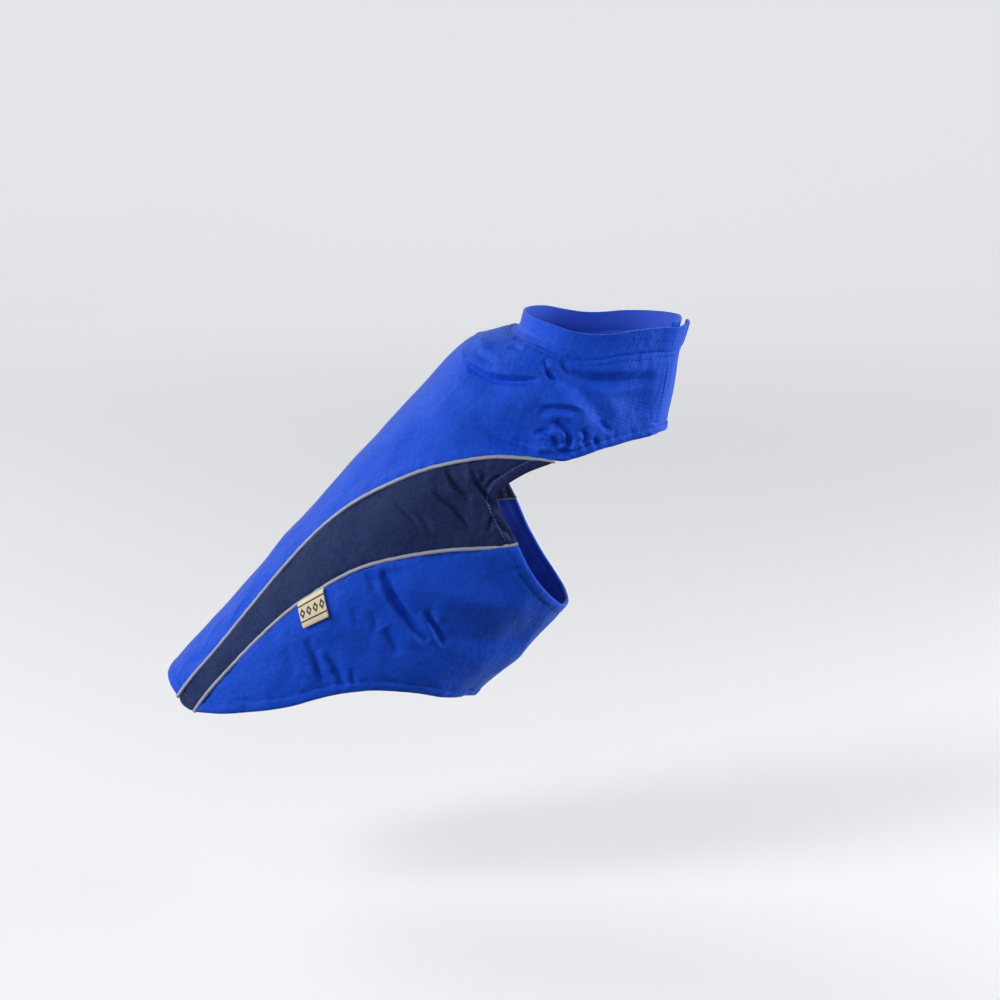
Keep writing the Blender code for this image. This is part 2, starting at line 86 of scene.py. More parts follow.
# Seams and edges of the right side, as rows of station and share. The left side mirrors them.
UPPER_SEAM = (
    (-0.0020, 0.202), (0.0270, 0.187), (0.0540, 0.169), (0.0930, 0.156), (0.1170, 0.159),
    (0.1390, 0.181), (0.1670, 0.237), (0.1910, 0.299), (0.2040, 0.347), (0.2150, 0.403),
    (0.2230, 0.470), (0.2294, 0.544),
)
LOWER_SEAM = (
    (0.0000, 0.286), (0.0290, 0.270), (0.0540, 0.264), (0.0780, 0.2725), (0.0980, 0.294),
    (0.1240, 0.337), (0.1450, 0.399), (0.1640, 0.471), (0.1750, 0.523), (0.1905, 0.590),
)
ARMHOLE_EDGE = (
    (0.2294, 0.544), (0.2180, 0.493), (0.2105, 0.474), (0.2045, 0.466), (0.2005, 0.473),
    (0.1977, 0.497), (0.1947, 0.538), (0.1905, 0.590),
)
CHEST_EDGE = (
    (0.2294, 0.544), (0.2320, 0.567), (0.2365, 0.598), (0.2415, 0.643), (0.2450, 0.700),
    (0.2480, 0.768), (0.2495, 0.826), (0.2500, 0.940), (0.2500, OVER_LAP),
)
BELLY_HEM = (
    (0.0000, 0.286), (0.0100, 0.353), (0.0230, 0.411), (0.0390, 0.466), (0.0605, 0.526),
    (0.0780, 0.600), (0.0930, 0.720), (0.1010, 0.860), (0.1030, 1.000),
)
BELLY_FRONT_EDGE = (
    (0.1905, 0.590), (0.1840, 0.660), (0.1790, 0.750), (0.1760, 0.870), (0.1750, 1.000),
)
NECK_SEAM = (
    # share, station
    (0.000, 0.2700), (0.140, 0.2695), (0.270, 0.2670), (0.400, 0.2640), (0.470, 0.2640),
    (0.545, 0.2660), (0.604, 0.2690), (0.700, 0.2725), (0.820, 0.2750), (1.020, 0.2760),
    (1.200, 0.2760),
)
CENTRE_AT_TIP = 0.215
CHEST_ROWS = (
    # way along the chest edge, station at the centre of the back
    (0.00, CENTRE_AT_TIP), (0.10, 0.2240), (0.20, 0.2320), (0.30, 0.2385), (0.40, 0.2435),
    (0.52, 0.2485), (0.66, 0.2530), (0.82, 0.2575), (1.00, 0.2615),
)
FOLDS = (
    # from station, share, to station, share, bow, half width, height
    (0.239, 0.11, 0.251, 0.40, 0.10, 0.0055, -0.0020),
    (0.257, 0.41, 0.261, 0.68, 0.06, 0.0060, -0.0018),
    (0.254, 0.40, 0.244, 0.65, 0.14, 0.0090, 0.0020),
    (0.222, 0.25, 0.232, 0.50, 0.05, 0.0090, -0.0024),
    (0.240, 0.40, 0.248, 0.57, 0.04, 0.0045, -0.0014),
    (0.242, 0.48, 0.237, 0.57, 0.16, 0.0045, -0.0018),
    (0.138, 0.36, 0.112, 0.56, 0.08, 0.0075, -0.0020),
    (0.138, 0.50, 0.116, 0.64, 0.06, 0.0075, -0.0020),
    (0.083, 0.38, 0.068, 0.53, 0.05, 0.0060, -0.0016),
    (0.204, 0.40, 0.187, 0.52, -0.10, 0.0045, -0.0016),
    (0.038, 0.17, 0.086, 0.06, 0.00, 0.0060, 0.0010),
    (0.165, 0.13, 0.205, 0.24, 0.04, 0.0100, -0.0014),
    (0.240, -0.14, 0.250, -0.42, -0.08, 0.0055, -0.0020),
    (0.256, -0.40, 0.262, -0.70, -0.06, 0.0060, -0.0018),
    (0.253, -0.42, 0.245, -0.63, -0.12, 0.0090, 0.0018),
    (0.220, -0.27, 0.233, -0.50, -0.06, 0.0090, -0.0022),
    (0.146, -0.37, 0.118, -0.57, -0.08, 0.0075, -0.0020),
    (0.126, -0.46, 0.100, -0.60, -0.05, 0.0075, -0.0018),
    (0.204, -0.40, 0.188, -0.53, 0.10, 0.0045, -0.0016),
    (0.045, -0.16, 0.100, -0.07, 0.00, 0.0060, 0.0010),
)
FOLD_SAMPLES = 13
FOLD_END_POWER = 0.75
PIPING_HOLDS = (0.002, 0.009)

LEFT_LAP = (0.88, 0.97)
LEFT_LAP_RISE = -0.0014
RIGHT_LAP = (0.71, 0.80)
RIGHT_LAP_RISE = 0.0033

# ---- Fine creases of the right side, placed after the worn cloth ----
# Half width, height and lip in tenths of a millimetre; then the way of the crease, as the station
# in tenths of a millimetre and the share in thousandths at each point.
CREASES = (
    # The fold over the shoulder, a roll of cloth above a sharp trough.
    (15, -25, 17, ((2385, 144), (2399, 207), (2417, 260), (2448, 310), (2478, 353), (2510, 393))),
    (36, -15, 0, ((2393, 158), (2408, 221), (2433, 284), (2472, 345), (2505, 392))),
    (45, 22, 0, ((2428, 143), (2439, 228), (2470, 291), (2507, 342), (2543, 380))),
    (26, -15, 7, ((2459, 137), (2468, 201), (2479, 252))),
    (24, 17, 0, ((2530, 68), (2528, 148), (2564, 153))),
    (30, 14, 0, ((2410, 66), (2392, 136), (2369, 186))),
    (16, -13, 6, ((2586, 220), (2601, 248), (2601, 280))),
    # Creases below the neck seam.
    (15, -20, -9, ((2601, 365), (2567, 388), (2547, 409), (2539, 427), (2548, 453))),
    (26, -21, 0, ((2556, 394), (2541, 416), (2538, 441))),
    (16, -20, 9, ((2608, 413), (2592, 441), (2581, 464), (2579, 489))),
    (32, -34, 13, ((2581, 474), (2576, 508), (2579, 548), (2593, 619), (2609, 697), (2621, 760))),
    (30, 13, 0, ((2547, 528), (2560, 598), (2580, 677), (2598, 756))),
    # The ridge from the neck to the chest edge, steep on its front side.
    (75, 32, 0, ((2512, 423), (2508, 458), (2493, 509), (2476, 556), (2454, 590))),
    (55, -25, 12, ((2552, 444), (2534, 497), (2515, 553), (2495, 599), (2474, 636))),
    # Short creases on the side of the chest.
    (18, -25, 11, ((2424, 436), (2447, 465), (2466, 504), (2480, 551))),
    (26, 14, 0, ((2405, 448), (2435, 484), (2454, 529))),
    (20, -36, -18, ((2418, 486), (2420, 508), (2414, 531), (2394, 549), (2368, 561))),
    (28, 22, 0, ((2380, 487), (2384, 512), (2366, 530))),
    (17, -25, -13, ((2344, 459), (2370, 478), (2379, 501))),
    (16, -21, -10, ((2380, 497), (2369, 514), (2348, 525))),
    (16, -22, 11, ((2289, 496), (2302, 521), (2311, 544))),
    (16, -22, 11, ((2339, 539), (2353, 559), (2365, 581))),
    (16, -24, -11, ((2433, 559), (2432, 580), (2420, 586), (2401, 581))),
    (15, -17, -8, ((2434, 606), (2428, 619), (2417, 621))),
    (17, -17, -7, ((2482, 615), (2473, 633), (2472, 659))),
    (15, 14, 0, ((2403, 553), (2391, 566), (2371, 571))),
    # The wide trough above the upper seam, and the rim of cloth below it.
    (55, -25, 0, ((2222, 289), (2223, 348), (2246, 407), (2275, 462), (2302, 508))),
    (22, -8, 4, ((2238, 400), (2263, 440), (2289, 483))),
    (60, 10, 0, ((2287, 281), (2307, 353), (2341, 420))),
    (15, -8, 5, ((2167, 403), (2221, 441), (2255, 483))),
    (60, -10, 0, ((2180, 206), (2174, 247), (2166, 300))),
    # The crumpled cloth beside the armhole.
    (14, -34, -14, ((2001, 401), (1992, 424), (1983, 447), (1966, 471), (1944, 493))),
    (15, -22, -10, ((1935, 500), (1919, 527), (1915, 551), (1909, 567))),
    (14, -21, 8, ((1930, 500), (1896, 501), (1857, 511))),
    (13, -15, 6, ((2121, 454), (2083, 440), (2038, 434), (2003, 439))),
    (13, -14, -7, ((2004, 444), (1988, 465), (1975, 488), (1957, 516))),
    (16, -21, -8, ((1946, 326), (1931, 348), (1919, 371), (1914, 401), (1916, 424))),
    (18, -22, -10, ((1822, 333), (1817, 363), (1827, 394), (1818, 415), (1811, 445), (1796, 475))),
    (16, 13, 0, ((1883, 348), (1881, 381), (1891, 408))),
    (15, 11, 0, ((2028, 364), (2006, 381), (1970, 391))),
    (14, -14, -6, ((2020, 378), (2005, 399), (1990, 413))),
    (15, -13, -6, ((2057, 393), (2045, 412), (2014, 419))),
    (18, -11, -4, ((1930, 432), (1901, 461), (1860, 485))),
    (20, -10, -4, ((1627, 289), (1627, 334), (1611, 373))),
    (18, -10, -4, ((1669, 329), (1664, 374), (1638, 409))),
    (22, -8, -4, ((1191, 235), (1222, 272), (1228, 309))),
    # Creases on the side of the belly.
    (24, -38, -17, ((1319, 381), (1273, 418), (1242, 449), (1217, 484), (1190, 527), (1172, 572),
                    (1169, 602))),
    (50, -17, 0, ((1267, 435), (1222, 499), (1189, 565))),
    (20, -31, -14, ((1307, 535), (1274, 564), (1246, 600), (1205, 647))),
    (80, 19, 0, ((1405, 530), (1474, 587), (1560, 660), (1661, 733))),
    (120, -38, 0, ((1243, 595), (1293, 662), (1372, 750), (1485, 860))),
    (21, -20, -10, ((758, 367), (720, 403), (686, 435), (651, 463), (615, 496))),
    (20, -19, -8, ((757, 434), (744, 473), (723, 504), (693, 537))),
    (24, 13, 0, ((755, 409), (740, 442), (703, 481))),
    (17, -10, -5, ((793, 507), (769, 529), (743, 546))),
    (18, -12, -6, ((1095, 433), (1073, 457), (1038, 483))),
    (19, -10, -5, ((1057, 394), (1024, 420), (987, 440))),
    (34, -26, -11, ((1071, 492), (1048, 530), (1013, 571))),
    (26, -10, 0, ((694, 315), (624, 363), (547, 418))),
    (50, 12, 0, ((1083, 342), (1034, 401), (956, 473))),
    (22, -8, -4, ((1239, 356), (1219, 384), (1182, 407))),
    # Soft streaks on the back, near the tail.
    (16, 8, 0, ((418, 158), (494, 146), (574, 126), (657, 114))),
    (20, 8, 0, ((229, 151), (352, 104), (490, 89))),
    (26, 8, 0, ((838, 44), (983, 39), (1148, 73))),
    (70, -16, 0, ((1395, 143), (1564, 137), (1750, 145))),
    (50, -13, 0, ((112, 141), (194, 155), (275, 154))),
)
CREASE_END_POWER = 0.55
CREASE_SAMPLES = 17
CREASE_SHIFT = (0.004, 0.016)     # how far the left side's creases wander, as station and share
PIPING_HOLDS_CREASES = (0.0005, 0.0035)
BACK_CALM = (0.10, 0.26, 0.7)     # from share, to share, and how much flatter the taut back lies
LAP_CALM = (0.72, 0.80, 0.75)     # from share, to share, and how much flatter the lapped fronts lie

# How each kind of edge is sewn, in millimetres.
EDGE_KINDS = {
    # kind: roll depth, roll width, raised band, stitch line, groove, pucker, pucker spacing
    "piped": (0.5, 1.8, 0.0, 2.0, 0.0, 0.30, 6.5),
    "hem": (0.6, 1.2, 0.45, 5.5, 0.50, 0.34, 6.0),
    "edge": (0.6, 1.2, 0.45, 4.5, 0.45, 0.34, 5.5),
    "front": (0.5, 1.0, 0.30, 3.0, 0.40, 0.14, 5.5),
    "neck": (0.9, 1.6, 0.25, 2.7, 0.45, 0.30, 6.0),
}
PUCKER_REACH = 3.5
GATHER_REACH = (16.0, 9.0)        # along the edge from its start, and in from it
GATHER_SPACING = 7.5

# Swell of the cloth: slow waves all over, as of a loose fit.
SWELL_WAVES = 14
SWELL_LENGTHS = (0.012, 0.045)
SWELL_SLOPE = 0.0068              # height of a wave as a share of its length
PIPING_WAVER = 0.00008            # how far its stitches pull the piping up, down and sideways

# One stitch, as shares of its length with heights over the cloth, and its place in its pitch.
STITCH = ((0.0, -0.00018), (0.22, 0.00008), (0.78, 0.00008), (1.0, -0.00018))
STITCH_START = 0.18
STITCH_LENGTH = 0.64

# The label's corners: station and share at both ends of its top, then of its folded bottom.
LABEL_CORNERS = ((0.0864, 0.2805), (0.1022, 0.3025), (0.0794, 0.342), (0.0938, 0.368))
LABEL_WALL = 0.00042

# ---- Grid steps ----
SEAM_STEPS = 104
CHEST_STEPS = 34
FRONT_STEPS = 22
BACK_COLUMNS = 204
SIDE_ROWS = 132
SIDE_COLUMNS = 46
BELLY_ROWS = 124
BELLY_COLUMNS = 150
NECKBAND_ROWS = 14
TAPE_STEPS = 18
LABEL_STEPS = (16, 40)
LINE_STEPS = 70
RING_STEPS = 180
BACK_LINE_STEPS = 612
CHUNK = 4000               # points worked out at a time

# Longest mesh edges on plain cloth, on large folds, and beside sewn edges; and for a fine crease as
# a share of its half width.
PLAIN_SIZE = 0.0034
FOLD_SIZE = 0.0021
EDGE_SIZE = 0.0015
EDGE_REACH = 0.0075
CREASE_SIZE = 0.5
WIDE_CREASE = 4.0
SIZE_SLACK = 1.3
REFINE_PASSES = 5
FIRST_STEPS = {
    # columns, rows
    "back_panel": (64, 54),
    "side_panel_right": (12, 44),
    "side_panel_left": (12, 44),
    "belly_panel": (60, 40),
}

SIDE_HEM_BOW = 0.0016      # how far the side panel's hem bows out between its seams
SEAM_TUCK = 0.0004         # how far from the seam line the cloth goes in under the piping
NUDGE = 0.0002
SHARE_NUDGE = 0.001


# ---- Numbers along lines ----
def smooth_rows(rows, x):
    """Reads a table at x by a cubic curve through its rows; the first column is x."""
    table = np.asarray(rows, float)
    x = np.atleast_1d(np.asarray(x, float))
    places, values = table[:, 0], table[:, 1:]
    spans = np.diff(places)
    rates = np.diff(values, axis=0) / spans[:, None]
    slopes = np.empty_like(values)
    slopes[0], slopes[-1] = rates[0], rates[-1]
    weights = spans[:-1] + spans[1:]
    slopes[1:-1] = (rates[:-1] * spans[1:, None] + rates[1:] * spans[:-1, None]) / weights[:, None]
    i = np.clip(np.searchsorted(places, x, side="right") - 1, 0, len(places) - 2)
    span = spans[i][:, None]
    t = (x[:, None] - places[i][:, None]) / span
    start = (2 * t**3 - 3 * t**2 + 1) * values[i] + (t**3 - 2 * t**2 + t) * span * slopes[i]
    end = (3 * t**2 - 2 * t**3) * values[i + 1] + (t**3 - t**2) * span * slopes[i + 1]
    return start + end


def smooth_step(x, start, end):
    """Rises from 0 at start to 1 at end."""
    t = np.clip((np.asarray(x, float) - start) / (end - start), 0.0, 1.0)
    return t * t * (3.0 - 2.0 * t)


def crowded(steps, start, end):
    """Ways from 0 to 1 that lie closer at the start and the end, where the edges are sewn."""
    t = np.linspace(0.0, 1.0, steps + 1)
    return t - start * t * (1.0 - t) ** 3 + end * (1.0 - t) * t**3


def unit(vectors):
    return vectors / np.linalg.norm(vectors, axis=-1, keepdims=True)


def run_along(points):
    """Length of a line of points up to each of them."""
    return np.concatenate([[0.0], np.cumsum(np.linalg.norm(np.diff(points, axis=0), axis=1))])


# ---- The body block ----
def make_back_line():
    """Stations and points of the back line, through the origin at the withers."""
    stations = np.linspace(BACK_SLOPES[0][0], BACK_SLOPES[-1][0], BACK_LINE_STEPS + 1)
    slopes = np.radians(smooth_rows(BACK_SLOPES, stations)[:, 0])
    middle = (slopes[1:] + slopes[:-1]) / 2.0
    steps = np.diff(stations)
    x = np.concatenate([[0.0], np.cumsum(np.cos(middle) * steps)])
    z = np.concatenate([[0.0], np.cumsum(np.sin(middle) * steps)])
    return stations, x - np.interp(WITHERS, stations, x), z - np.interp(WITHERS, stations, z)


def signed_power(values, exponent):
    return np.sign(values) * np.abs(values) ** exponent


BACK_LINE = make_back_line()
RING_ANGLES = np.linspace(0.0, math.pi, RING_STEPS + 1)
RING_DROP = (1.0 - signed_power(np.cos(RING_ANGLES), 2.0 / RING_SQUARENESS)) / 2.0
RING_SIDE = signed_power(np.sin(RING_ANGLES), 2.0 / RING_SQUARENESS)


def block_points(station, share):
    """Points of the block at stations and shares, as an array of x, y and z."""
    station = np.asarray(station, float)
    share = (np.asarray(share, float) + 1.0) % 2.0 - 1.0
    return np.concatenate([
        ring_points(station[i:i + CHUNK], share[i:i + CHUNK])
        for i in range(0, len(station), CHUNK)
    ])


def ring_points(station, share):
    """Points at shares of the way round the half rings at the stations."""
    dip, depth, half_width = smooth_rows(RINGS, station).T
    drop = depth[:, None] * RING_DROP
    side = half_width[:, None] * RING_SIDE
    run = np.cumsum(np.hypot(np.diff(drop), np.diff(side)), axis=1)
    run = np.concatenate([np.zeros((len(run), 1)), run], axis=1)
    here = np.abs(share) * run[:, -1]
    rows = np.arange(len(run))
    i = np.clip((run < here[:, None]).sum(axis=1) - 1, 0, RING_STEPS - 1)
    t = (here - run[rows, i]) / (run[rows, i + 1] - run[rows, i])
    forward = drop[rows, i] * (1 - t) + drop[rows, i + 1] * t
    sideways = side[rows, i] * (1 - t) + side[rows, i + 1] * t
    angle = np.radians(dip)
    return np.column_stack([
        np.interp(station, BACK_LINE[0], BACK_LINE[1]) + forward * np.cos(angle),
        -np.copysign(sideways, share),
        np.interp(station, BACK_LINE[0], BACK_LINE[2]) - forward * np.sin(angle),
    ])


def block_slopes(station, share):
    """How a point of the block moves per metre of station and per unit of share."""
    slopes = []
    for a, b in ((NUDGE, 0.0), (0.0, SHARE_NUDGE)):
        ahead, behind = block_points(station + a, share + b), block_points(station - a, share - b)
        slopes.append((ahead - behind) / (2 * (a + b)))
    return slopes


def block_outward(station, share):
    by_station, by_share = block_slopes(station, share)
    return unit(np.cross(by_share, by_station))


def line_at_ways(rows, ways):
    """Stations and shares at ways along a seam or edge, from 0 at its start to 1 at its end."""
    rows = np.asarray(rows, float)
    run = run_along(block_points(*rows.T))
    return smooth_rows(np.column_stack([run / run[-1], rows]), ways)


def move_across(line, distance):
    """Moves a line sideways over the block, to the right of its way as seen from outside."""
    station, share = line[:, 0], line[:, 1]
    along = unit(np.gradient(block_points(station, share), axis=0))
    by_station, by_share = block_slopes(station, share)
    outward = unit(np.cross(by_share, by_station))
    sideways = np.cross(along, outward) * distance
    a, b = (by_station**2).sum(1), (by_share**2).sum(1)
    c = (by_station * by_share).sum(1)
    p, q = (sideways * by_station).sum(1), (sideways * by_share).sum(1)
    area = a * b - c * c
    step = np.column_stack([(p * b - q * c) / area, (q * a - p * c) / area])
    return line + step


def fit_ends(line, start, end):
    """Shifts a line so that it runs exactly from start to end."""
    t = np.linspace(0.0, 1.0, len(line))[:, None]
    return line + (1.0 - t) * (start - line[0]) + t * (end - line[-1])


def fill_patch(first, last, start, end, ways, bow_power):
    """Rows of places between four lines: first and last run along, start and end run across."""
    along, across = ways
    start = fit_ends(start, first[0], last[0])
    end = fit_ends(end, first[-1], last[-1])
    u = along[:, None, None]
    v = across[None, :, None]
    straight = (1 - v) * first[:, None] + v * last[:, None]
    near_bow = start - ((1 - v) * first[0] + v * last[0])
    far_bow = end - ((1 - v) * first[-1] + v * last[-1])
    return straight + (1 - u) ** bow_power * near_bow + u**bow_power * far_bow


def line_distance(points, line):
    """Distance from each point to a line, the way along it, and the offset and step there."""
    steps = np.diff(line, axis=0)
    offsets = points[:, None, :] - line[None, :-1, :]
    t = np.clip((offsets * steps).sum(2) / (steps * steps).sum(1), 0.0, 1.0)
    across = offsets - t[:, :, None] * steps
    distance = np.linalg.norm(across, axis=2)
    nearest = distance.argmin(axis=1)
    rows = np.arange(len(points))
    way = (nearest + t[rows, nearest]) / len(steps)
    return distance[rows, nearest], way, across[rows, nearest], steps[nearest]


def in_chunks(work, points):
    """Runs work on a few points at a time and joins its results along their last axis."""
    parts = [np.asarray(work(points[i:i + CHUNK])) for i in range(0, len(points), CHUNK)]
    return np.concatenate(parts, axis=-1)


def distance_to(line, points):
    return in_chunks(lambda some: line_distance(some, line)[0], points)


def points_near(points, line, reach):
    """Which points lie within reach of the box around a line."""
    return np.all((points > line.min(0) - reach) & (points < line.max(0) + reach), axis=1)


# ---- Relief of the cloth ----
def fold_line(fold):
    """Points of the bowed centre line of a large fold on the block."""
    start_station, start_share, end_station, end_share, bow = fold[:5]
    t = np.linspace(0.0, 1.0, FOLD_SAMPLES)
    along = end_station - start_station
    around = (end_share - start_share) * HALF_GIRTH
    arch = 4.0 * t * (1.0 - t) * bow
    station = start_station + along * t - around * arch
    share = start_share + (around * t + along * arch) / HALF_GIRTH
    return block_points(station, share)


def crease_line(crease):
    """Points of a fine crease, a curve through its places."""
    line = line_at_ways(crease[3], np.linspace(0.0, 1.0, CREASE_SAMPLES))
    return block_points(*line.T)


def all_creases():
    """The right side's creases, sizes in millimetres, and like ones on the left that wander."""
    right = [(*(size / 10 for size in row[:3]), np.array(row[3]) / (1e4, 1e3)) for row in CREASES]
    left = []
    for i, (half_width, rise, lip, places) in enumerate(right):
        station, share = places.T
        wander = np.sin(45.0 * station + 6.0 * share), np.sin(38.0 * station + 1.0)
        strength = 0.85 + 0.2 * math.sin(3.1 * i)
        moved = places * (1.0, -1.0) + np.column_stack(wander) * CREASE_SHIFT
        left.append((half_width, rise * strength, -lip * strength, moved))
    return [*right, *left]


def fold_height(points):
    """Height of the cloth over the block from the large folds."""
    height = np.zeros(len(points))
    for fold in FOLDS:
        half_width, rise = fold[5:]
        line = fold_line(fold)
        near = points_near(points, line, 2 * half_width)
        distance, way = line_distance(points[near], line)[:2]
        across = np.clip(distance / (2.0 * half_width), 0.0, 1.0)
        lengthwise = np.sin(math.pi * way) ** FOLD_END_POWER
        height[near] += rise * lengthwise * (1.0 + np.cos(math.pi * across)) / 2.0
    return height


def crease_height(points, outward, depth):
    """Height of the cloth from the fine creases, a trough or ridge each, with a lip on one side."""
    height = np.zeros(len(points))
    for crease in all_creases():
        half_width, rise, lip = (value * MM for value in crease[:3])
        line = crease_line(crease)
        near = points_near(points, line, 3.5 * half_width)
        distance, way, offset, step = line_distance(points[near], line)
        side = np.sign((np.cross(step, offset) * outward[near]).sum(1))
        d = side * distance / half_width
        trough = rise * np.exp(-(np.abs(d) ** 1.5))
        beside = abs(lip) * np.exp(-(((d - 1.5 * np.sign(lip)) / 0.8) ** 2))
        height[near] += (trough + beside) * np.sin(math.pi * way) ** CREASE_END_POWER
    return height * depth


def swell_height(points):
    """Slow uneven waves of a cloth that lies a little loose."""
    random = np.random.default_rng(11)
    height = np.zeros(len(points))
    for _ in range(SWELL_WAVES):
        direction = unit(random.normal(size=3))
        length = random.uniform(*SWELL_LENGTHS)
        phase = random.uniform(0.0, 2.0 * math.pi)
        wave = np.sin(2.0 * math.pi * (points @ direction) / length + phase)
        height += SWELL_SLOPE * length * wave
    return height


def ripple(x):
    """An uneven wave between about -1 and 1, one period for each whole number."""
    turn = 2.0 * math.pi * x
    return (np.sin(turn) + 0.6 * np.sin(0.63 * turn + 1.3) + 0.4 * np.sin(1.71 * turn + 0.5)) / 1.6


def edge_height(distance, along, kind, gather):
    """Height of the cloth beside a sewn edge: rolled at the edge, raised over a hem, puckered."""
    roll, roll_width, band, stitch, groove, pucker, spacing = EDGE_KINDS[kind]
    d, a = distance / MM, along / MM
    height = -roll * (1.0 - smooth_step(d, 0.0, roll_width))
    before_stitch = 1.0 - smooth_step(d, stitch - 0.6, stitch + 0.5)
    height += band * smooth_step(d, 0.0, roll_width) * before_stitch
    height -= groove * np.exp(-(((d - stitch) / 0.9) ** 2))
    height -= pucker * np.exp(-np.abs(d - stitch) / PUCKER_REACH) * ripple(a / spacing)
    fade = np.exp(-((a / GATHER_REACH[0]) ** 2)) * np.exp(-((d / GATHER_REACH[1]) ** 2))
    height -= gather * fade * ripple(a / GATHER_SPACING)
    return height * MM


def lap_rise(share):
    """How far the fronts stand off the block: the right one over the tapes, the left one under."""
    right = RIGHT_LAP_RISE * smooth_step(share, *RIGHT_LAP)
    left = LEFT_LAP_RISE * smooth_step(-share, *LEFT_LAP)
    return right + left


PIPED_LINES = [
    block_points(line[:, 0], side * line[:, 1])
    for line in (line_at_ways(rows, np.linspace(0, 1, 29)) for rows in (UPPER_SEAM, LOWER_SEAM))
    for side in (1.0, -1.0)
]


def calm_at_piping(height, points, reach):
    """Fades heights out towards the piped seams, whose cord holds the cloth down."""
    for line in PIPED_LINES:
        height = height * smooth_step(distance_to(line, points), *reach)
    return height


class ClothPiece:
    """A cut piece on the block: its places, its sewn edges, and where its outer face lies."""

    def __init__(self, places, edges, lapped=False):
        self.places = places
        self.edges = [(kind, block_points(*line.T), gather) for kind, line, gather in edges]
        self.lapped = lapped

    def base(self, station, share):
        """Middle of the wall with the large folds alone, the way out from it, and the block."""
        points = block_points(station, share)
        outward = block_outward(station, share)
        folds = calm_at_piping(fold_height(points), points, PIPING_HOLDS)
        if self.lapped:
            folds += lap_rise(share)
        return points + outward * (CLOTH / 2.0 + folds)[:, None], outward, points

    def face(self, places):
        """Points of the outer face at places, and the way out from them."""
        station, share = places.reshape(-1, 2).T
        middle, outward, points = self.base(station, share)
        fine = crease_height(points, outward, bpy.context.scene.coat_sizes.crease_depth)
        fine = calm_at_piping(fine, points, PIPING_HOLDS_CREASES)
        taut = 1.0 - smooth_step(np.abs(share), *BACK_CALM[:2])
        fine += swell_height(points) * (1.0 - BACK_CALM[2] * taut)
        if self.lapped:
            fine *= 1.0 - LAP_CALM[2] * smooth_step(np.abs(share), *LAP_CALM[:2])
        for kind, line, gather in self.edges:
            length = run_along(line)[-1]
            distance, way = in_chunks(lambda some: line_distance(some, line)[:2], points)
            fine += edge_height(distance, way * length, kind, gather)
        raised = middle + outward * (CLOTH / 2.0 + fine)[:, None]
        shape = (*places.shape[:-1], 3)
        return raised.reshape(shape), outward.reshape(shape)


# ---- The cut pieces ----
def mirrored(line):
    return line * (1.0, -1.0)


def back_side_edge(lap):
    """Edge of the back panel: up the seam, along the chest and up the front, as three lines."""
    seam_ways = crowded(SEAM_STEPS, 0.75, 0.0)
    seam = move_across(line_at_ways(UPPER_SEAM, seam_ways), -SEAM_TUCK)
    chest_rows = CHEST_EDGE[:-1] + ((CHEST_EDGE[-1][0], lap),)
    chest = line_at_ways(chest_rows, np.linspace(0.0, 1.0, CHEST_STEPS + 1)[1:])
    neck_station = smooth_rows(NECK_SEAM, lap)[0, 0]
    front_ways = crowded(FRONT_STEPS, 0.0, 0.6)[1:]
    front_stations = chest[-1, 0] + (neck_station - chest[-1, 0]) * front_ways
    front = np.column_stack([front_stations, np.full(FRONT_STEPS, lap)])
    return seam, chest, front


def back_panel_piece():
    """Rows from the left edge over the back to the right edge, from the tail hem to the neck."""
    right_parts, left_parts = back_side_edge(OVER_LAP), back_side_edge(UNDER_LAP)
    right, left = np.concatenate(right_parts), np.concatenate(left_parts)
    chest_ways = np.linspace(0.0, 1.0, CHEST_STEPS + 1)[1:]
    front_ways = crowded(FRONT_STEPS, 0.0, 0.6)[1:]
    last_chest, neck = CHEST_ROWS[-1][1], NECK_SEAM[0][1]
    centre = np.concatenate([
        right[:SEAM_STEPS + 1, 0] * CENTRE_AT_TIP / UPPER_SEAM[-1][0],
        smooth_rows(CHEST_ROWS, chest_ways)[:, 0],
        last_chest + (neck - last_chest) * front_ways,
    ])
    across = 2.0 * crowded(BACK_COLUMNS, 0.7, 0.7) - 1.0
    edge = np.where(across[None, :, None] < 0, left[:, None], right[:, None])
    station = centre[:, None] + (edge[:, :, 0] - centre[:, None]) * across**2
    share = edge[:, :, 1] * across
    neck_station = smooth_rows(NECK_SEAM, np.abs(share[-1]))[:, 0]
    past_tip = (np.arange(len(centre)) - SEAM_STEPS) / (len(centre) - 1 - SEAM_STEPS)
    neck_pull = np.clip(past_tip, 0.0, 1.0) ** 2
    station = station + neck_pull[:, None] * (neck_station - station[-1])
    places = np.stack([station, share], axis=2)
    edges = [("hem", places[0], 0.0), ("neck", places[-1], 0.0)]
    for parts, turn in ((right_parts, np.array), (left_parts, mirrored)):
        seam, chest, front = parts
        edges.append(("piped", turn(seam), 0.0))
        edges.append(("edge", turn(np.concatenate([seam[-1:], chest])), 0.65))
        edges.append(("front", turn(np.concatenate([chest[-1:], front])), 0.0))
    return ClothPiece(places, edges, lapped=True)


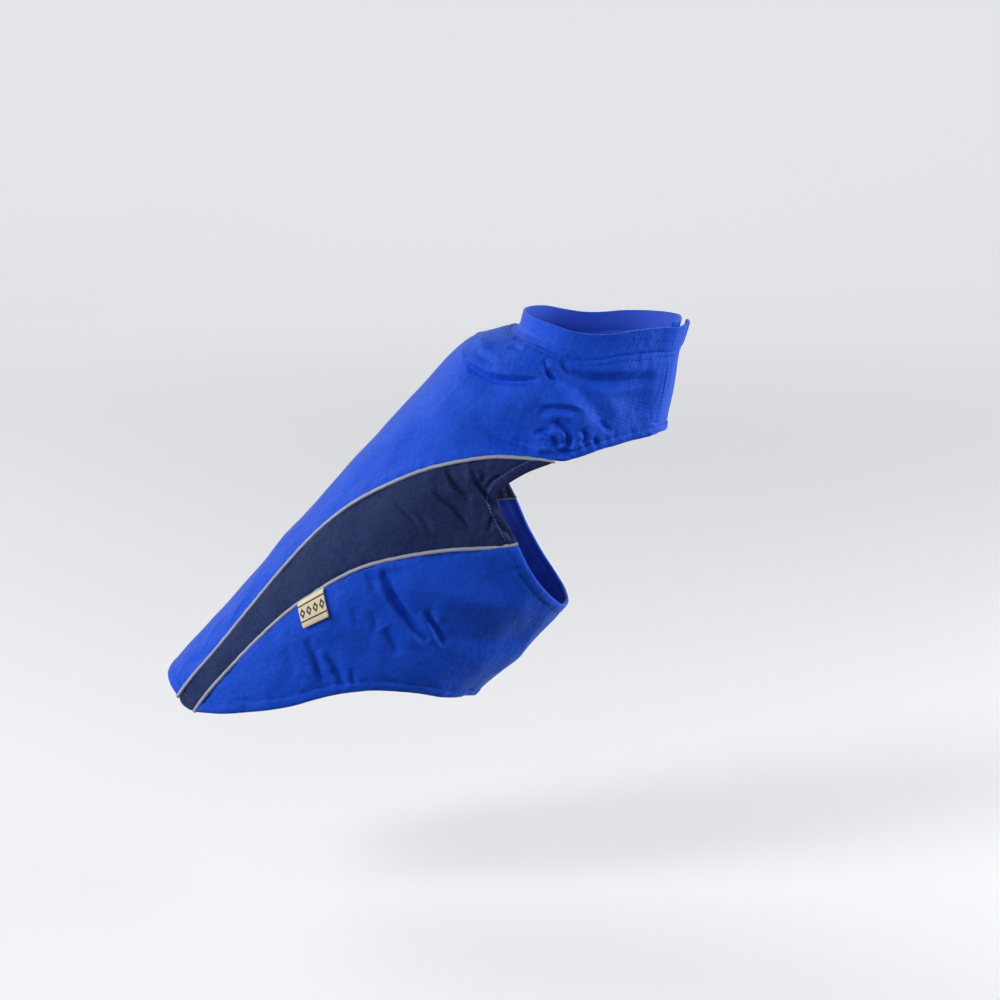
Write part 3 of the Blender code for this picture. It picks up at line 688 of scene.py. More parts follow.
def side_panel_piece(side):
    """Navy insert, narrow at the hem and wide at the armhole; side is 1 right and -1 left."""
    ways = crowded(SIDE_ROWS, 0.6, 0.6), crowded(SIDE_COLUMNS, 0.6, 0.6)
    upper = move_across(line_at_ways(UPPER_SEAM, ways[0]), SEAM_TUCK)
    lower = move_across(line_at_ways(LOWER_SEAM, ways[0]), -SEAM_TUCK)
    hem = upper[0] + (lower[0] - upper[0]) * ways[1][:, None]
    hem[:, 0] -= SIDE_HEM_BOW * 4.0 * ways[1] * (1.0 - ways[1])
    armhole = line_at_ways(ARMHOLE_EDGE, ways[1])
    places = fill_patch(upper, lower, hem, armhole, ways, 3)
    if side < 0:
        places = places[:, ::-1] * (1.0, -1.0)
    edges = [
        ("piped", places[:, 0], 0.0),
        ("piped", places[:, -1], 0.0),
        ("hem", places[0], 0.0),
        ("hem", places[-1], 0.0),
    ]
    return ClothPiece(places, edges)


def belly_panel_piece():
    """From the right lower seam, under the belly, to the left lower seam."""
    ways = crowded(BELLY_ROWS, 0.6, 0.6), crowded(BELLY_COLUMNS, 0.6, 0.6)
    right = move_across(line_at_ways(LOWER_SEAM, ways[0]), SEAM_TUCK)
    left = np.array([0.0, 2.0]) + mirrored(right)
    half = ways[1][:BELLY_COLUMNS // 2 + 1] * 2.0
    lines = []
    for rows in (BELLY_HEM, BELLY_FRONT_EDGE):
        line = line_at_ways(rows, half)
        lines.append(np.concatenate([line, (np.array([0.0, 2.0]) + mirrored(line[:-1]))[::-1]]))
    places = fill_patch(right, left, *lines, ways, 1)
    edges = [
        ("piped", places[:, 0], 0.0),
        ("piped", places[:, -1], 0.0),
        ("hem", places[0], 0.0),
        ("hem", places[-1], 0.0),
    ]
    return ClothPiece(places, edges)


def place_at(table, u, v):
    """Reads a table of places at ways u across and v along it, both from 0 to 1."""
    column, row = u * (table.shape[1] - 1), v * (table.shape[0] - 1)
    i = np.clip(column.astype(int), 0, table.shape[1] - 2)
    j = np.clip(row.astype(int), 0, table.shape[0] - 2)
    c, r = (column - i)[:, None], (row - j)[:, None]
    near = table[j, i] * (1 - c) + table[j, i + 1] * c
    far = table[j + 1, i] * (1 - c) + table[j + 1, i + 1] * c
    return near * (1 - r) + far * r


def wanted_size(piece_of_cloth, points):
    """Longest edge that the mesh may have at points: short beside creases, seams and hems."""
    size = np.full(len(points), PLAIN_SIZE)
    lines = [(fold_line(fold), 1.6 * fold[5], FOLD_SIZE) for fold in FOLDS]
    for crease in all_creases():
        wanted = CREASE_SIZE * min(crease[0], WIDE_CREASE) * MM
        lines.append((crease_line(crease), 2.2 * crease[0] * MM, wanted))
    lines += [(line, EDGE_REACH, EDGE_SIZE) for _, line, _ in piece_of_cloth.edges]
    for line, reach, wanted in lines:
        near = np.flatnonzero(points_near(points, line, reach))
        if len(near):
            close = near[distance_to(line, points[near]) < reach]
            size[close] = np.minimum(size[close], wanted)
    return size


def refined_grid(piece_of_cloth, steps):
    """A grid on the unit square, cut finer where the cloth on it has creases and edges."""
    table = piece_of_cloth.places
    mesh = bmesh.new()
    bmesh.ops.create_grid(mesh, x_segments=steps[0], y_segments=steps[1], size=1.0)

    def on_block():
        u, v = (np.array([vert.co[:2] for vert in mesh.verts]).T + 1.0) / 2.0
        return block_points(*place_at(table, u, v).T)

    for _ in range(REFINE_PASSES):
        mesh.verts.index_update()
        points = on_block()
        ends = np.array([[vert.index for vert in edge.verts] for edge in mesh.edges])
        length = np.linalg.norm(points[ends[:, 0]] - points[ends[:, 1]], axis=1)
        middle = points[ends].mean(axis=1)
        too_long = length > SIZE_SLACK * wanted_size(piece_of_cloth, middle)
        mesh.edges.ensure_lookup_table()
        chosen = [mesh.edges[i] for i in np.flatnonzero(too_long)]
        if not chosen:
            break
        bmesh.ops.subdivide_edges(mesh, edges=chosen, cuts=1, use_grid_fill=True)
        many_sided = [face for face in mesh.faces if len(face.verts) > 4]
        bmesh.ops.triangulate(mesh, faces=many_sided)
    return mesh


@functools.cache
def piece(name):
    """The cut piece of that name, worked out once."""
    makers = {
        "back_panel": back_panel_piece,
        "side_panel_right": lambda: side_panel_piece(1.0),
        "side_panel_left": lambda: side_panel_piece(-1.0),
        "belly_panel": belly_panel_piece,
    }
    return makers[name]()


# ---- Materials ----
def linear(hex_colour):
    """Linear red, green, blue and alpha of an sRGB hex colour."""
    channels = [int(hex_colour[i:i + 2], 16) / 255.0 for i in (1, 3, 5)]
    return (*(c / 12.92 if c <= 0.04045 else ((c + 0.055) / 1.055) ** 2.4 for c in channels), 1.0)


def add_node(tree, kind, inputs=None, **settings):
    """Adds a node with its settings; an input is a value, or an output socket to link."""
    node = tree.nodes.new(kind)
    for name, value in settings.items():
        setattr(node, name, value)
    for name, value in (inputs or {}).items():
        if isinstance(value, bpy.types.NodeSocket):
            tree.links.new(value, node.inputs[name])
        else:
            node.inputs[name].default_value = value
    return node


def new_material(name, **shader_values):
    """A material with only its Principled BSDF, and that shader."""
    material = bpy.data.materials.new(name)
    material.use_nodes = True
    shader = material.node_tree.nodes["Principled BSDF"]
    for socket, value in shader_values.items():
        shader.inputs[socket.replace("_", " ")].default_value = value
    return material, shader


def shade(tree, colour, factor, low, high, paler=0.0):
    """A colour by a factor from 0 to 1, between two multiples of it, the second one made paler."""
    mix = add_node(tree, "ShaderNodeMix", {"Factor": factor}, data_type="RGBA")
    for socket, multiple, pale in ((6, low, 0.0), (7, high, paler)):
        shaded = (min(1.0, channel * multiple + pale) for channel in colour[:3])
        mix.inputs[socket].default_value = (*shaded, 1.0)
    return mix.outputs[2]


def dress(shader, colour, height, strength, depth):
    """Gives a face its colour, and a fine relief of a depth in millimetres to catch the light."""
    tree = shader.id_data
    relief = add_node(
        tree, "ShaderNodeBump", {"Strength": strength, "Distance": depth * MM, "Height": height},
    )
    tree.links.new(colour, shader.inputs["Base Color"])
    tree.links.new(relief.outputs["Normal"], shader.inputs["Normal"])


def woven_polyester(name, colour, roughness, sheen, contrast, paler):
    """Taslan, a plain weave of bulky polyester yarn: a dry, finely grained face with a soft sheen.

    Real threads lie 0.25 mm apart, too fine to show, so the weave is drawn at 0.9 mm.
    """
    material, shader = new_material(
        name, Roughness=roughness, IOR=1.5, Specular_IOR_Level=0.16,
        Specular_Tint=(0.30, 0.60, 1.0, 1.0), Sheen_Weight=sheen, Sheen_Roughness=0.45,
        Sheen_Tint=(0.14, 0.50, 1.0, 1.0),
    )
    tree = material.node_tree
    uv = add_node(tree, "ShaderNodeUVMap", uv_map="cloth").outputs["UV"]
    wave = {
        "Vector": uv, "Scale": WAVE_REPEAT / (0.9 * MM), "Distortion": 2.5, "Detail": 1.0,
        "Detail Scale": 0.15,
    }
    warp, weft = (
        add_node(tree, "ShaderNodeTexWave", wave, bands_direction=way).outputs["Fac"]
        for way in ("X", "Y")
    )
    weave = add_node(tree, "ShaderNodeMath", {0: warp, 1: weft}, operation="MULTIPLY").outputs[0]
    # Patches for each millimetre: the yarn's grain, its thick places, clouds of dye, soft crinkles.
    grain, slub, cloud, crinkle = (
        add_node(
            tree, "ShaderNodeTexNoise",
            {"Vector": uv, "Scale": patches / MM, "Detail": detail, "Roughness": 0.55},
        ).outputs["Fac"]
        for patches, detail in ((1.5, 1.0), (0.42, 2.0), (0.07, 3.0), (0.13, 2.0))
    )
    mottled = grain
    for layer, weight in ((slub, 0.55), (cloud, 0.45)):
        mottled = add_node(
            tree, "ShaderNodeMath", {0: layer, 1: weight, 2: mottled}, operation="MULTIPLY_ADD",
        ).outputs[0]
    spread = add_node(
        tree, "ShaderNodeMapRange", {"Value": mottled, "From Min": 0.72, "From Max": 1.28},
    ).outputs["Result"]
    mix = shade(tree, colour, spread, 1.0 - contrast, 1.0 + contrast, paler)
    tree.links.new(mix, shader.inputs["Base Color"])
    grit = add_node(tree, "ShaderNodeMath", {0: weave, 1: grain}, operation="ADD").outputs[0]
    relief = {"Strength": 0.6}
    for height, depth in ((grit, 0.14), (slub, 0.5), (crinkle, 1.6)):
        relief.update({"Distance": depth * MM, "Height": height})
        relief["Normal"] = add_node(tree, "ShaderNodeBump", relief).outputs["Normal"]
    tree.links.new(relief["Normal"], shader.inputs["Normal"])
    return material


def cloth_reverse(name, colour):
    """The back of the same cloth, coated: duller and smoother than the face, and a little paler."""
    material, shader = new_material(name, Roughness=0.7, IOR=1.5, Sheen_Weight=0.1)
    tree = material.node_tree
    uv = add_node(tree, "ShaderNodeUVMap", uv_map="cloth").outputs["UV"]
    inputs = {"Vector": uv, "Scale": 0.5 / MM, "Detail": 2.0}
    grain = add_node(tree, "ShaderNodeTexNoise", inputs).outputs["Fac"]
    dress(shader, shade(tree, colour, grain, 0.85, 1.1), grain, 0.3, 0.1)
    return material


def reflective_tape(name, colour):
    """Glass-bead reflective fabric over a cord: flat grey, faintly metallic, with a fine grit."""
    material, shader = new_material(name, Roughness=0.55, Metallic=0.15, IOR=1.5)
    tree = material.node_tree
    place = add_node(tree, "ShaderNodeTexCoord").outputs["Object"]
    grit, wear = (
        add_node(
            tree, "ShaderNodeTexNoise", {"Vector": place, "Scale": patches / MM, "Detail": detail},
        ).outputs["Fac"]
        for patches, detail in ((0.9, 2.0), (0.09, 3.0))
    )
    both = add_node(tree, "ShaderNodeMath", {0: grit, 1: wear}, operation="ADD").outputs[0]
    spread = add_node(
        tree, "ShaderNodeMapRange", {"Value": both, "From Min": 0.7, "From Max": 1.3},
    ).outputs["Result"]
    dress(shader, shade(tree, colour, spread, 0.86, 1.1), grit, 0.4, 0.12)
    return material


def sewing_thread(name, colour):
    """Spun polyester thread: a twisted yarn with a soft shine. Its twist repeats every 0.5 mm."""
    material, shader = new_material(
        name, Roughness=0.55, IOR=1.5, Specular_IOR_Level=0.15, Specular_Tint=(0.4, 0.65, 1.0, 1.0),
    )
    tree = material.node_tree
    place = add_node(tree, "ShaderNodeTexCoord").outputs["Object"]
    twist = add_node(
        tree, "ShaderNodeTexWave", {"Vector": place, "Scale": 0.6 / MM, "Distortion": 3.0},
        bands_direction="DIAGONAL",
    ).outputs["Fac"]
    dress(shader, shade(tree, colour, twist, 0.8, 1.15), twist, 0.5, 0.1)
    return material


def fastener_pile(name, colour):
    """Nylon hook and loop tape: a dense fuzzy pile, a tuft for each 1.1 mm, that swallows light."""
    material, shader = new_material(name, Roughness=0.9, IOR=1.5, Sheen_Weight=0.4)
    tree = material.node_tree
    place = add_node(tree, "ShaderNodeTexCoord").outputs["Object"]
    inputs = {"Vector": place, "Scale": 0.9 / MM}
    pile = add_node(tree, "ShaderNodeTexVoronoi", inputs).outputs["Distance"]
    dress(shader, shade(tree, colour, pile, 1.2, 0.6), pile, 0.9, 0.5)
    return material


def woven_label_tape(name, colour, motif_colour):
    """Woven taffeta label: crosswise ribs, and a plain motif of four lozenges between two lines."""
    material, shader = new_material(name, Roughness=0.75, IOR=1.5, Sheen_Weight=0.2)
    tree = material.node_tree
    uv = add_node(tree, "ShaderNodeUVMap", uv_map="cloth").outputs["UV"]
    parts = add_node(tree, "ShaderNodeSeparateXYZ", {"Vector": uv})
    drawn = {"u": parts.outputs["X"], "v": parts.outputs["Y"]}
    for result, operation, *values in (
        ("cells", "MULTIPLY", "u", 4.0),
        ("cell", "FRACT", "cells"),
        ("off cell", "SUBTRACT", "cell", 0.5),
        ("from cell", "ABSOLUTE", "off cell"),
        ("off middle", "SUBTRACT", "v", 0.5),
        ("from middle", "ABSOLUTE", "off middle"),
        ("slant", "MULTIPLY_ADD", "from middle", 2.2, "from cell"),
        ("lozenge", "LESS_THAN", "slant", 0.42),
        ("hollow", "LESS_THAN", "slant", 0.17),
        ("ring", "SUBTRACT", "lozenge", "hollow"),
        ("lines", "COMPARE", "from middle", 0.29, 0.028),
        ("both", "MAXIMUM", "ring", "lines"),
        ("off centre", "SUBTRACT", "u", 0.5),
        ("from centre", "ABSOLUTE", "off centre"),
        ("off the cut sides", "LESS_THAN", "from centre", 0.5),
        ("motif", "MULTIPLY", "both", "off the cut sides"),
    ):
        inputs = {i: drawn.get(value, value) for i, value in enumerate(values)}
        drawn[result] = add_node(tree, "ShaderNodeMath", inputs, operation=operation).outputs[0]
    # A rib for each 0.6 mm of the 13 mm drop.
    ribs = add_node(
        tree, "ShaderNodeTexWave", {"Vector": uv, "Scale": WAVE_REPEAT / 0.045, "Distortion": 0.6},
        bands_direction="Y",
    ).outputs["Fac"]
    ground = shade(tree, colour, ribs, 0.86, 1.06)
    inputs = {"Factor": drawn["motif"], 6: ground, 7: tuple(motif_colour)}
    mix = add_node(tree, "ShaderNodeMix", inputs, data_type="RGBA")
    dress(shader, mix.outputs[2], ribs, 0.5, 0.1)
    return material


def coat_material(name):
    """One of the coat's materials, made when it is first asked for."""
    if name in bpy.data.materials:
        return bpy.data.materials[name]
    colours = bpy.context.scene.coat_colours
    makers = {
        # maker, colours; for the outer face also roughness, sheen, contrast, and how much paler
        "royal_taslan": (woven_polyester, colours.royal, 0.50, 0.25, 0.22, 0.014),
        "navy_taslan": (woven_polyester, colours.navy, 0.55, 0.10, 0.44, 0.009),
        "royal_reverse": (cloth_reverse, colours.royal),
        "navy_reverse": (cloth_reverse, colours.navy),
        "reflective_tape": (reflective_tape, colours.piping),
        # The royal thread's darker blue is partly its own colour, partly painted shade of the
        # stitches sunk in the cloth.
        "royal_thread": (sewing_thread, colours.thread),
        # The side inserts' thread is the same blue thread made paler: a painted glint.
        "pale_thread": (sewing_thread, colours.armhole_thread_and_glint),
        "fastener_pile": (fastener_pile, colours.navy),
        "woven_label_tape": (woven_label_tape, colours.label, colours.motif),
    }
    maker, *values = makers[name]
    return maker(name, *values)


# ---- Meshes ----
def settle_mesh(name, grid, place):
    """A mesh from a grid on the unit square, where place gives points and UVs at ways u and v."""
    mesh = bpy.data.meshes.new(name)
    grid.to_mesh(mesh)
    grid.free()
    flat = np.empty(len(mesh.vertices) * 3)
    mesh.vertices.foreach_get("co", flat)
    u, v = (flat.reshape(-1, 3)[:, :2].T + 1.0) / 2.0
    points, uv = place(u, v)
    mesh.vertices.foreach_set("co", points.ravel())
    loops = np.empty(len(mesh.loops), int)
    mesh.loops.foreach_get("vertex_index", loops)
    mesh.uv_layers.new(name="cloth").data.foreach_set("uv", uv[loops].ravel())
    mesh.shade_smooth()
    mesh.update()
    return mesh


def grid_mesh(name, points, uv):
    """A grid moved to rows of points, with a UV map in the same rows."""
    rows, columns = points.shape[:2]
    grid = bmesh.new()
    bmesh.ops.create_grid(grid, x_segments=columns - 1, y_segments=rows - 1, size=1.0)

    def place(u, v):
        row, column = np.rint(v * (rows - 1)).astype(int), np.rint(u * (columns - 1)).astype(int)
        return points[row, column], uv[row, column]

    return settle_mesh(name, grid, place)


def link_piece(name, data, materials, node):
    """Makes an object of the coat that rides on its body and stands for a solid."""
    made = bpy.data.objects.new(name, data)
    for material in materials:
        data.materials.append(coat_material(material))
    bpy.context.scene.collection.objects.link(made)
    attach(made, "root")
    if node:
        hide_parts(node)
    return made


def add_wall(made, thickness, offset, rim_round, reverse=False):
    """Gives an open sheet its wall and rounds the wall's edges."""
    wall = made.modifiers.new("wall", "SOLIDIFY")
    wall.thickness = thickness
    wall.offset = offset
    wall.material_offset = 1 if reverse else 0
    rim = made.modifiers.new("rim", "BEVEL")
    rim.limit_method = "ANGLE"
    rim.angle_limit = math.radians(76.0)
    rim.width = rim_round
    rim.segments = 2


def cloth_mesh(name, shape, steps):
    """The outer face of a cut piece, with the flat place of each point as its UV map."""

    def place(u, v):
        places = place_at(shape.places, u, v)
        return shape.face(places)[0], places * (1.0, HALF_GIRTH)

    return settle_mesh(name, refined_grid(shape, steps), place)


def make_cloth_piece(node, cloth):
    """Makes the worn cloth of one cut piece: creased shell, rolled edges, coloured reverse."""
    mesh = cloth_mesh(node + "_cloth", piece(node), FIRST_STEPS[node])
    made = link_piece(
        node + "_cloth", mesh, (cloth + "_taslan", cloth + "_reverse"), node,
    )
    add_wall(made, bpy.context.scene.coat_sizes.cloth_wall, -1.0, 0.00035, reverse=True)


def make_neckband():
    """Stand collar, cut double with a folded top: it leaves the neck seam and turns up the neck."""
    shape = piece("back_panel")
    neck = shape.places[-1]
    base = shape.base(*neck.T)[0]
    leave = unit(base - shape.base(*(neck - (0.001, 0.0)).T)[0])
    slope = math.radians(NECK_SLOPE)
    up_neck = np.array([math.cos(slope), 0.0, math.sin(slope)])
    heights = np.concatenate([[-COLLAR_TUCK], COLLAR_HEIGHT * crowded(NECKBAND_ROWS, 0.5, 0.5)])
    rows = [base - leave * COLLAR_TUCK]
    for low, high in zip(heights[:-1], heights[1:]):
        turn = smooth_step((low + high) / 2.0, *COLLAR_TURN)
        rows.append(rows[-1] + unit(leave * (1.0 - turn) + up_neck * turn) * (high - low))
    middle = np.array(rows)
    run = run_along(base)
    outward = unit(np.cross(np.gradient(middle, axis=1), np.gradient(middle, axis=0)))
    h, a = heights[:, None] / MM, run[None, :] / MM
    rolled = -0.7 * (1.0 - smooth_step(h, 0.0, 1.8)) - 0.5 * (h < 0.0)
    puckered = 0.22 * np.exp(-np.abs(h) / 3.0) * ripple(a / 6.2 + 0.3)
    wavering = 0.25 * ripple(a / 31.0) * smooth_step(h, 2.0, 12.0)
    lift = rolled - puckered + wavering
    points = middle + outward * (lift * MM + CLOTH / 2.0)[:, :, None]
    uv = np.stack(np.broadcast_arrays(heights[:, None], run[None, :]), axis=2)
    mesh = grid_mesh("neckband_cloth", points, uv)
    made = link_piece(
        "neckband_cloth", mesh, ("royal_taslan", "royal_reverse"), "neckband",
    )
    add_wall(made, 1.2 * CLOTH, -1.0, 0.0006, reverse=True)


def new_cord(name, radius, resolution):
    """A curve with a round cord's thickness, and no length yet."""
    curve = bpy.data.curves.new(name, "CURVE")
    curve.dimensions = "3D"
    curve.bevel_depth = radius
    curve.bevel_resolution = resolution
    curve.use_fill_caps = True
    return curve


def lay_cord(curve, points):
    """Lays one length of a cord through points."""
    spline = curve.splines.new("POLY")
    spline.points.add(len(points) - 1)
    for spline_point, point in zip(spline.points, points):
        spline_point.co = (*point, 1.0)


def make_piping(name, rows, side):
    """Piping, a corded tube of reflective tape, lies in the seam and wavers with its stitches."""
    line = line_at_ways(rows, np.linspace(0.0, 1.0, 2 * LINE_STEPS + 1)) * (1.0, side)
    points, outward = block_points(*line.T), block_outward(*line.T)
    run = run_along(points)
    sideways = np.cross(unit(np.gradient(points, axis=0)), outward)
    sway = PIPING_WAVER * ripple(run / 0.0071)
    rise = CLOTH / 2.0 + PIPING_RISE + PIPING_WAVER * ripple(run / 0.0065)
    curve = new_cord(name + "_cord", PIPING_RADIUS, 3)
    lay_cord(curve, points + outward * rise[:, None] + sideways * sway[:, None])
    link_piece(name + "_cord", curve, ("reflective_tape",), name)


def stitch_rows():
    """Every row of topstitching: piece, line of places, thread."""
    back, belly = piece("back_panel"), piece("belly_panel")
    hem_ways = np.linspace(0.0, 1.0, LINE_STEPS + 1)
    rows = []

    def sewn(name, line, distance, thread, start, end):
        """A row beside a line of places, without some of its points at the start and the end."""
        rows.append((name, move_across(line, distance)[start:len(line) - end], thread))

    def evenly(line):
        run = run_along(line * (1.0, HALF_GIRTH))
        return np.column_stack([np.interp(hem_ways * run[-1], run, column) for column in line.T])

    sewn("back_panel", evenly(back.places[0]), -0.0055, "royal_thread", 1, 1)
    sewn("back_panel", evenly(back.places[-1]), 0.0027, "royal_thread", 1, 1)
    sewn("belly_panel", evenly(belly.places[0]), -0.0055, "royal_thread", 0, 0)
    sewn("belly_panel", evenly(belly.places[-1]), 0.0055, "royal_thread", 0, 0)
    for side, lap in ((1.0, OVER_LAP), (-1.0, UNDER_LAP)):
        name = "side_panel_right" if side > 0 else "side_panel_left"
        flip = np.array([1.0, side])
        _, chest, front = back_side_edge(lap)
        chest = move_across(evenly(chest), -0.0045)
        rows.append(("back_panel", chest[2:-3] * flip, "royal_thread"))
        front = move_across(evenly(np.concatenate([chest[-1:], front])), -0.0030)
        rows.append(("back_panel", front[4:-3] * flip, "royal_thread"))
        armhole = move_across(line_at_ways(ARMHOLE_EDGE, hem_ways), 0.0050)
        rows.append((name, armhole[9:-3] * flip, "pale_thread"))
        sewn(name, evenly(piece(name).places[0]), -0.0052, "pale_thread", 3, 3)
    inner = np.linspace((0.2520, 0.812), (0.2735, 0.798), LINE_STEPS + 1)
    rows.append(("back_panel", inner, "royal_thread"))
    return rows


def make_stitching(name, pieces, thread):
    """Topstitching of some pieces, each stitch a short bowed thread that dips in at its ends."""
    sizes = bpy.context.scene.coat_sizes
    pitch = sizes.stitch_pitch
    curve = new_cord(name, sizes.thread_thickness / 2.0, 1)
    for piece_name, line, row_thread in stitch_rows():
        if piece_name not in pieces or row_thread != thread:
            continue
        face, outward = piece(piece_name).face(line)
        run = run_along(face)
        for k in range(int(run[-1] / pitch)):
            ways = [(k + STITCH_START) * pitch + t * STITCH_LENGTH * pitch for t, _ in STITCH]
            lay_cord(curve, [
                [np.interp(way, run, face[:, i] + outward[:, i] * rise) for i in range(3)]
                for way, (_, rise) in zip(ways, STITCH)
            ])
    link_piece(name, curve, (thread,), None)


def make_tape(node, out, station_ends, share_ends):
    """Hook or loop tape between the laps, with a pile on its face."""
    ends = (station_ends, share_ends)
    station, share = (np.linspace(*pair, TAPE_STEPS + 1) for pair in ends)
    places = np.stack(np.meshgrid(station, share, indexing="ij"), axis=2)
    middle, outward, _ = piece("back_panel").base(*places.reshape(-1, 2).T)
    points = (middle + outward * out).reshape(places.shape[:2] + (3,))
    mesh = grid_mesh(node + "_pile", points, places)
    made = link_piece(node + "_pile", mesh, ("fastener_pile",), node)
    add_wall(made, TAPE_WALL, 0.0, 0.0002)


def make_label():
    """Folded label tab, caught in the lower seam: down behind, round its fold, and up in front."""
    corners = np.array(LABEL_CORNERS)
    columns, rows = LABEL_STEPS
    u = np.linspace(0.0, 1.0, columns + 1)[None, :]
    t = np.linspace(0.0, 1.0, rows + 1)[:, None]
    down = 1.0 - np.abs(2.0 * t - 1.0)
    top = corners[0] + (corners[1] - corners[0]) * u[..., None]
    bottom = corners[2] + (corners[3] - corners[2]) * u[..., None]
    places = top + (bottom - top) * down[..., None]
    shape = piece("belly_panel")
    flat = places.reshape(-1, 2)
    middle, outward, _ = shape.base(*flat.T)
    relief = ((shape.face(flat)[0] - middle) * outward).sum(1).reshape(rows + 1, columns + 1)
    lift = 0.25 + 1.5 * down**2 * (0.55 + 0.45 * u) + 0.25 * down * np.sin(5.0 * u + 0.6)
    layer = 0.32 * np.tanh((t - 0.5) / 0.03)
    tuck = -0.8 * (1.0 - smooth_step(down, 0.0, 0.10))
    out = (lift + layer + tuck) * MM + relief.max(axis=1, keepdims=True)
    points = (middle + outward * out.reshape(-1, 1)).reshape(places.shape[:2] + (3,))
    uv = np.stack(np.broadcast_arrays(u, np.clip(2.0 - 2.0 * t, 0.0, 1.0)), axis=2)
    mesh = grid_mesh("woven_label_tab", points[:, ::-1], uv[:, ::-1])
    made = link_piece("woven_label_tab", mesh, ("woven_label_tape",), "woven_label")
    add_wall(made, LABEL_WALL, 0.0, 0.0001)


# ---- Stage ----
EYE = (0.01838, -1.26590, 0.18315)
TARGET = (0.01838, -0.01747, -0.08221)
FLOOR = -0.312
PAPER = (2.6, 0.8, 3.5)    # reach of the paper's flat floor, radius of its bend, height of its top
LIGHT_TARGET = (0.0, 0.0, -0.08)
LIGHTS = (
    # name, place, width and height, power
    ("key_softbox", (-1.2, -0.8, 1.0), (0.55, 0.55), 11.5),
    ("left_softbox", (-1.6, -0.7, 0.2), (0.6, 0.9), 14.5),
    ("rim_softbox", (-1.2, 0.8, 0.85), (0.9, 0.7), 8.5),
    ("camera_softbox", (0.3, -2.0, 0.5), (1.2, 1.0), 5.5),
    ("right_softbox", (1.4, -0.1, 0.30), (0.6, 1.0), 18.5),
    ("right_rim_softbox", (1.3, 0.8, 0.8), (0.9, 0.9), 4.0),
)


def aim(made, place, target):
    """Puts an object at a place so that its -Z looks at the target."""
    made.location = place
    made.rotation_euler = (Vector(target) - Vector(place)).to_track_quat("-Z", "Y").to_euler()


def make_backdrop():
    """Seamless paper all round: a floor that curves up into a wall, well outside every view. It
    glows with painted light, stronger farther from the middle.
    """
    mesh = bpy.data.meshes.new("paper_sweep")
    sweep = bmesh.new()
    reach, radius, top = PAPER
    bend = [
        (reach + radius * math.sin(a), FLOOR + radius * (1.0 - math.cos(a)))
        for a in np.linspace(0.0, math.pi / 2.0, 13)
    ]
    profile = [(0.02, FLOOR), (1.3, FLOOR), *bend, (reach + radius, FLOOR + top)]
    verts = [sweep.verts.new((x, 0.0, z)) for x, z in profile]
    edges = [sweep.edges.new(pair) for pair in zip(verts[:-1], verts[1:])]
    bmesh.ops.spin(
        sweep, geom=[*verts, *edges], cent=(0.0, 0.0, 0.0), axis=(0.0, 0.0, 1.0),
        angle=2.0 * math.pi, steps=96, use_merge=True,
    )
    bmesh.ops.remove_doubles(sweep, verts=sweep.verts, dist=0.0001)
    middle = [edge for edge in sweep.edges if edge.is_boundary and edge.verts[0].co.z < 0.0]
    bmesh.ops.holes_fill(sweep, edges=middle)
    bmesh.ops.recalc_face_normals(sweep, faces=sweep.faces)
    sweep.to_mesh(mesh)
    sweep.free()
    mesh.shade_smooth()
    made = bpy.data.objects.new("paper_sweep", mesh)
    # Painted light: the paper glows, stronger farther from the middle, in place of studio light
    # falling on it.
    material, shader = new_material(
        "backdrop_paper_with_painted_glow", Base_Color=linear("#DCDCDF"), Roughness=0.9,
        Emission_Color=linear("#F4F5F8"),
    )
    tree = material.node_tree
    place = add_node(tree, "ShaderNodeTexCoord").outputs["Object"]
    length = add_node(tree, "ShaderNodeVectorMath", {0: place}, operation="LENGTH")
    glow = add_node(
        tree, "ShaderNodeMapRange",
        {
            "Value": length.outputs["Value"], "From Min": 0.6, "From Max": 2.7, "To Min": 0.26,
            "To Max": 0.68,
        },
        interpolation_type="SMOOTHSTEP",
    )
    tree.links.new(glow.outputs["Result"], shader.inputs["Emission Strength"])
    mesh.materials.append(material)
    bpy.context.scene.collection.objects.link(made)
    made.visible_diffuse = False


def make_lights():
    """White softboxes that the camera doesn't see, and a little light from all round."""
    scene = bpy.context.scene
    world = bpy.data.worlds.new("studio_air")
    world.use_nodes = True
    background = world.node_tree.nodes["Background"]
    background.inputs["Color"].default_value = linear("#F1F4FA")
    background.inputs["Strength"].default_value = 0.05
    scene.world = world
    for name, place, size, power in LIGHTS:
        light = bpy.data.lights.new(name, "AREA")
        light.shape = "RECTANGLE"
        light.size, light.size_y = size
        light.energy = power
        made = bpy.data.objects.new(name, light)
        made.visible_camera = False
        scene.collection.objects.link(made)
        aim(made, place, LIGHT_TARGET)


def make_camera():
    scene = bpy.context.scene
    camera = bpy.data.cameras.new("photo_camera")
    camera.lens = 85.0
    camera.sensor_width = 36.0
    camera.clip_start = 0.05
    made = bpy.data.objects.new("photo_camera", camera)
    scene.collection.objects.link(made)
    aim(made, EYE, TARGET)
    scene.camera = made
    scene.view_settings.view_transform = "Standard"


# ---- Settings, operators and panel ----
def length_property(name, description, size, low, high):
    return FloatProperty(
        name=name, description=description, default=size, min=low, max=high, unit="LENGTH",
    )


class CoatSizes(PropertyGroup):
    """Sizes of the coat's finish."""

    cloth_wall: length_property("Cloth wall", "Thickness of the cloth", 0.0014, 0.0005, 0.003)
    crease_depth: FloatProperty(
        name="Crease depth", description="How deep the fine creases are, 1 as worn", default=1.0,
        min=0.0, max=2.0, subtype="FACTOR",
    )
    stitch_pitch: length_property(
        "Stitch pitch", "Length of a topstitch and the gap after it", 0.0022, 0.0015, 0.006,
    )
    thread_thickness: length_property(
        "Thread thickness", "Diameter of the sewing thread", 0.0004, 0.0002, 0.001,
    )


def colour_property(name, description, hex_colour):
    return FloatVectorProperty(
        name=name, description=description, subtype="COLOR", size=4, min=0.0, max=1.0,
        default=linear(hex_colour),
    )


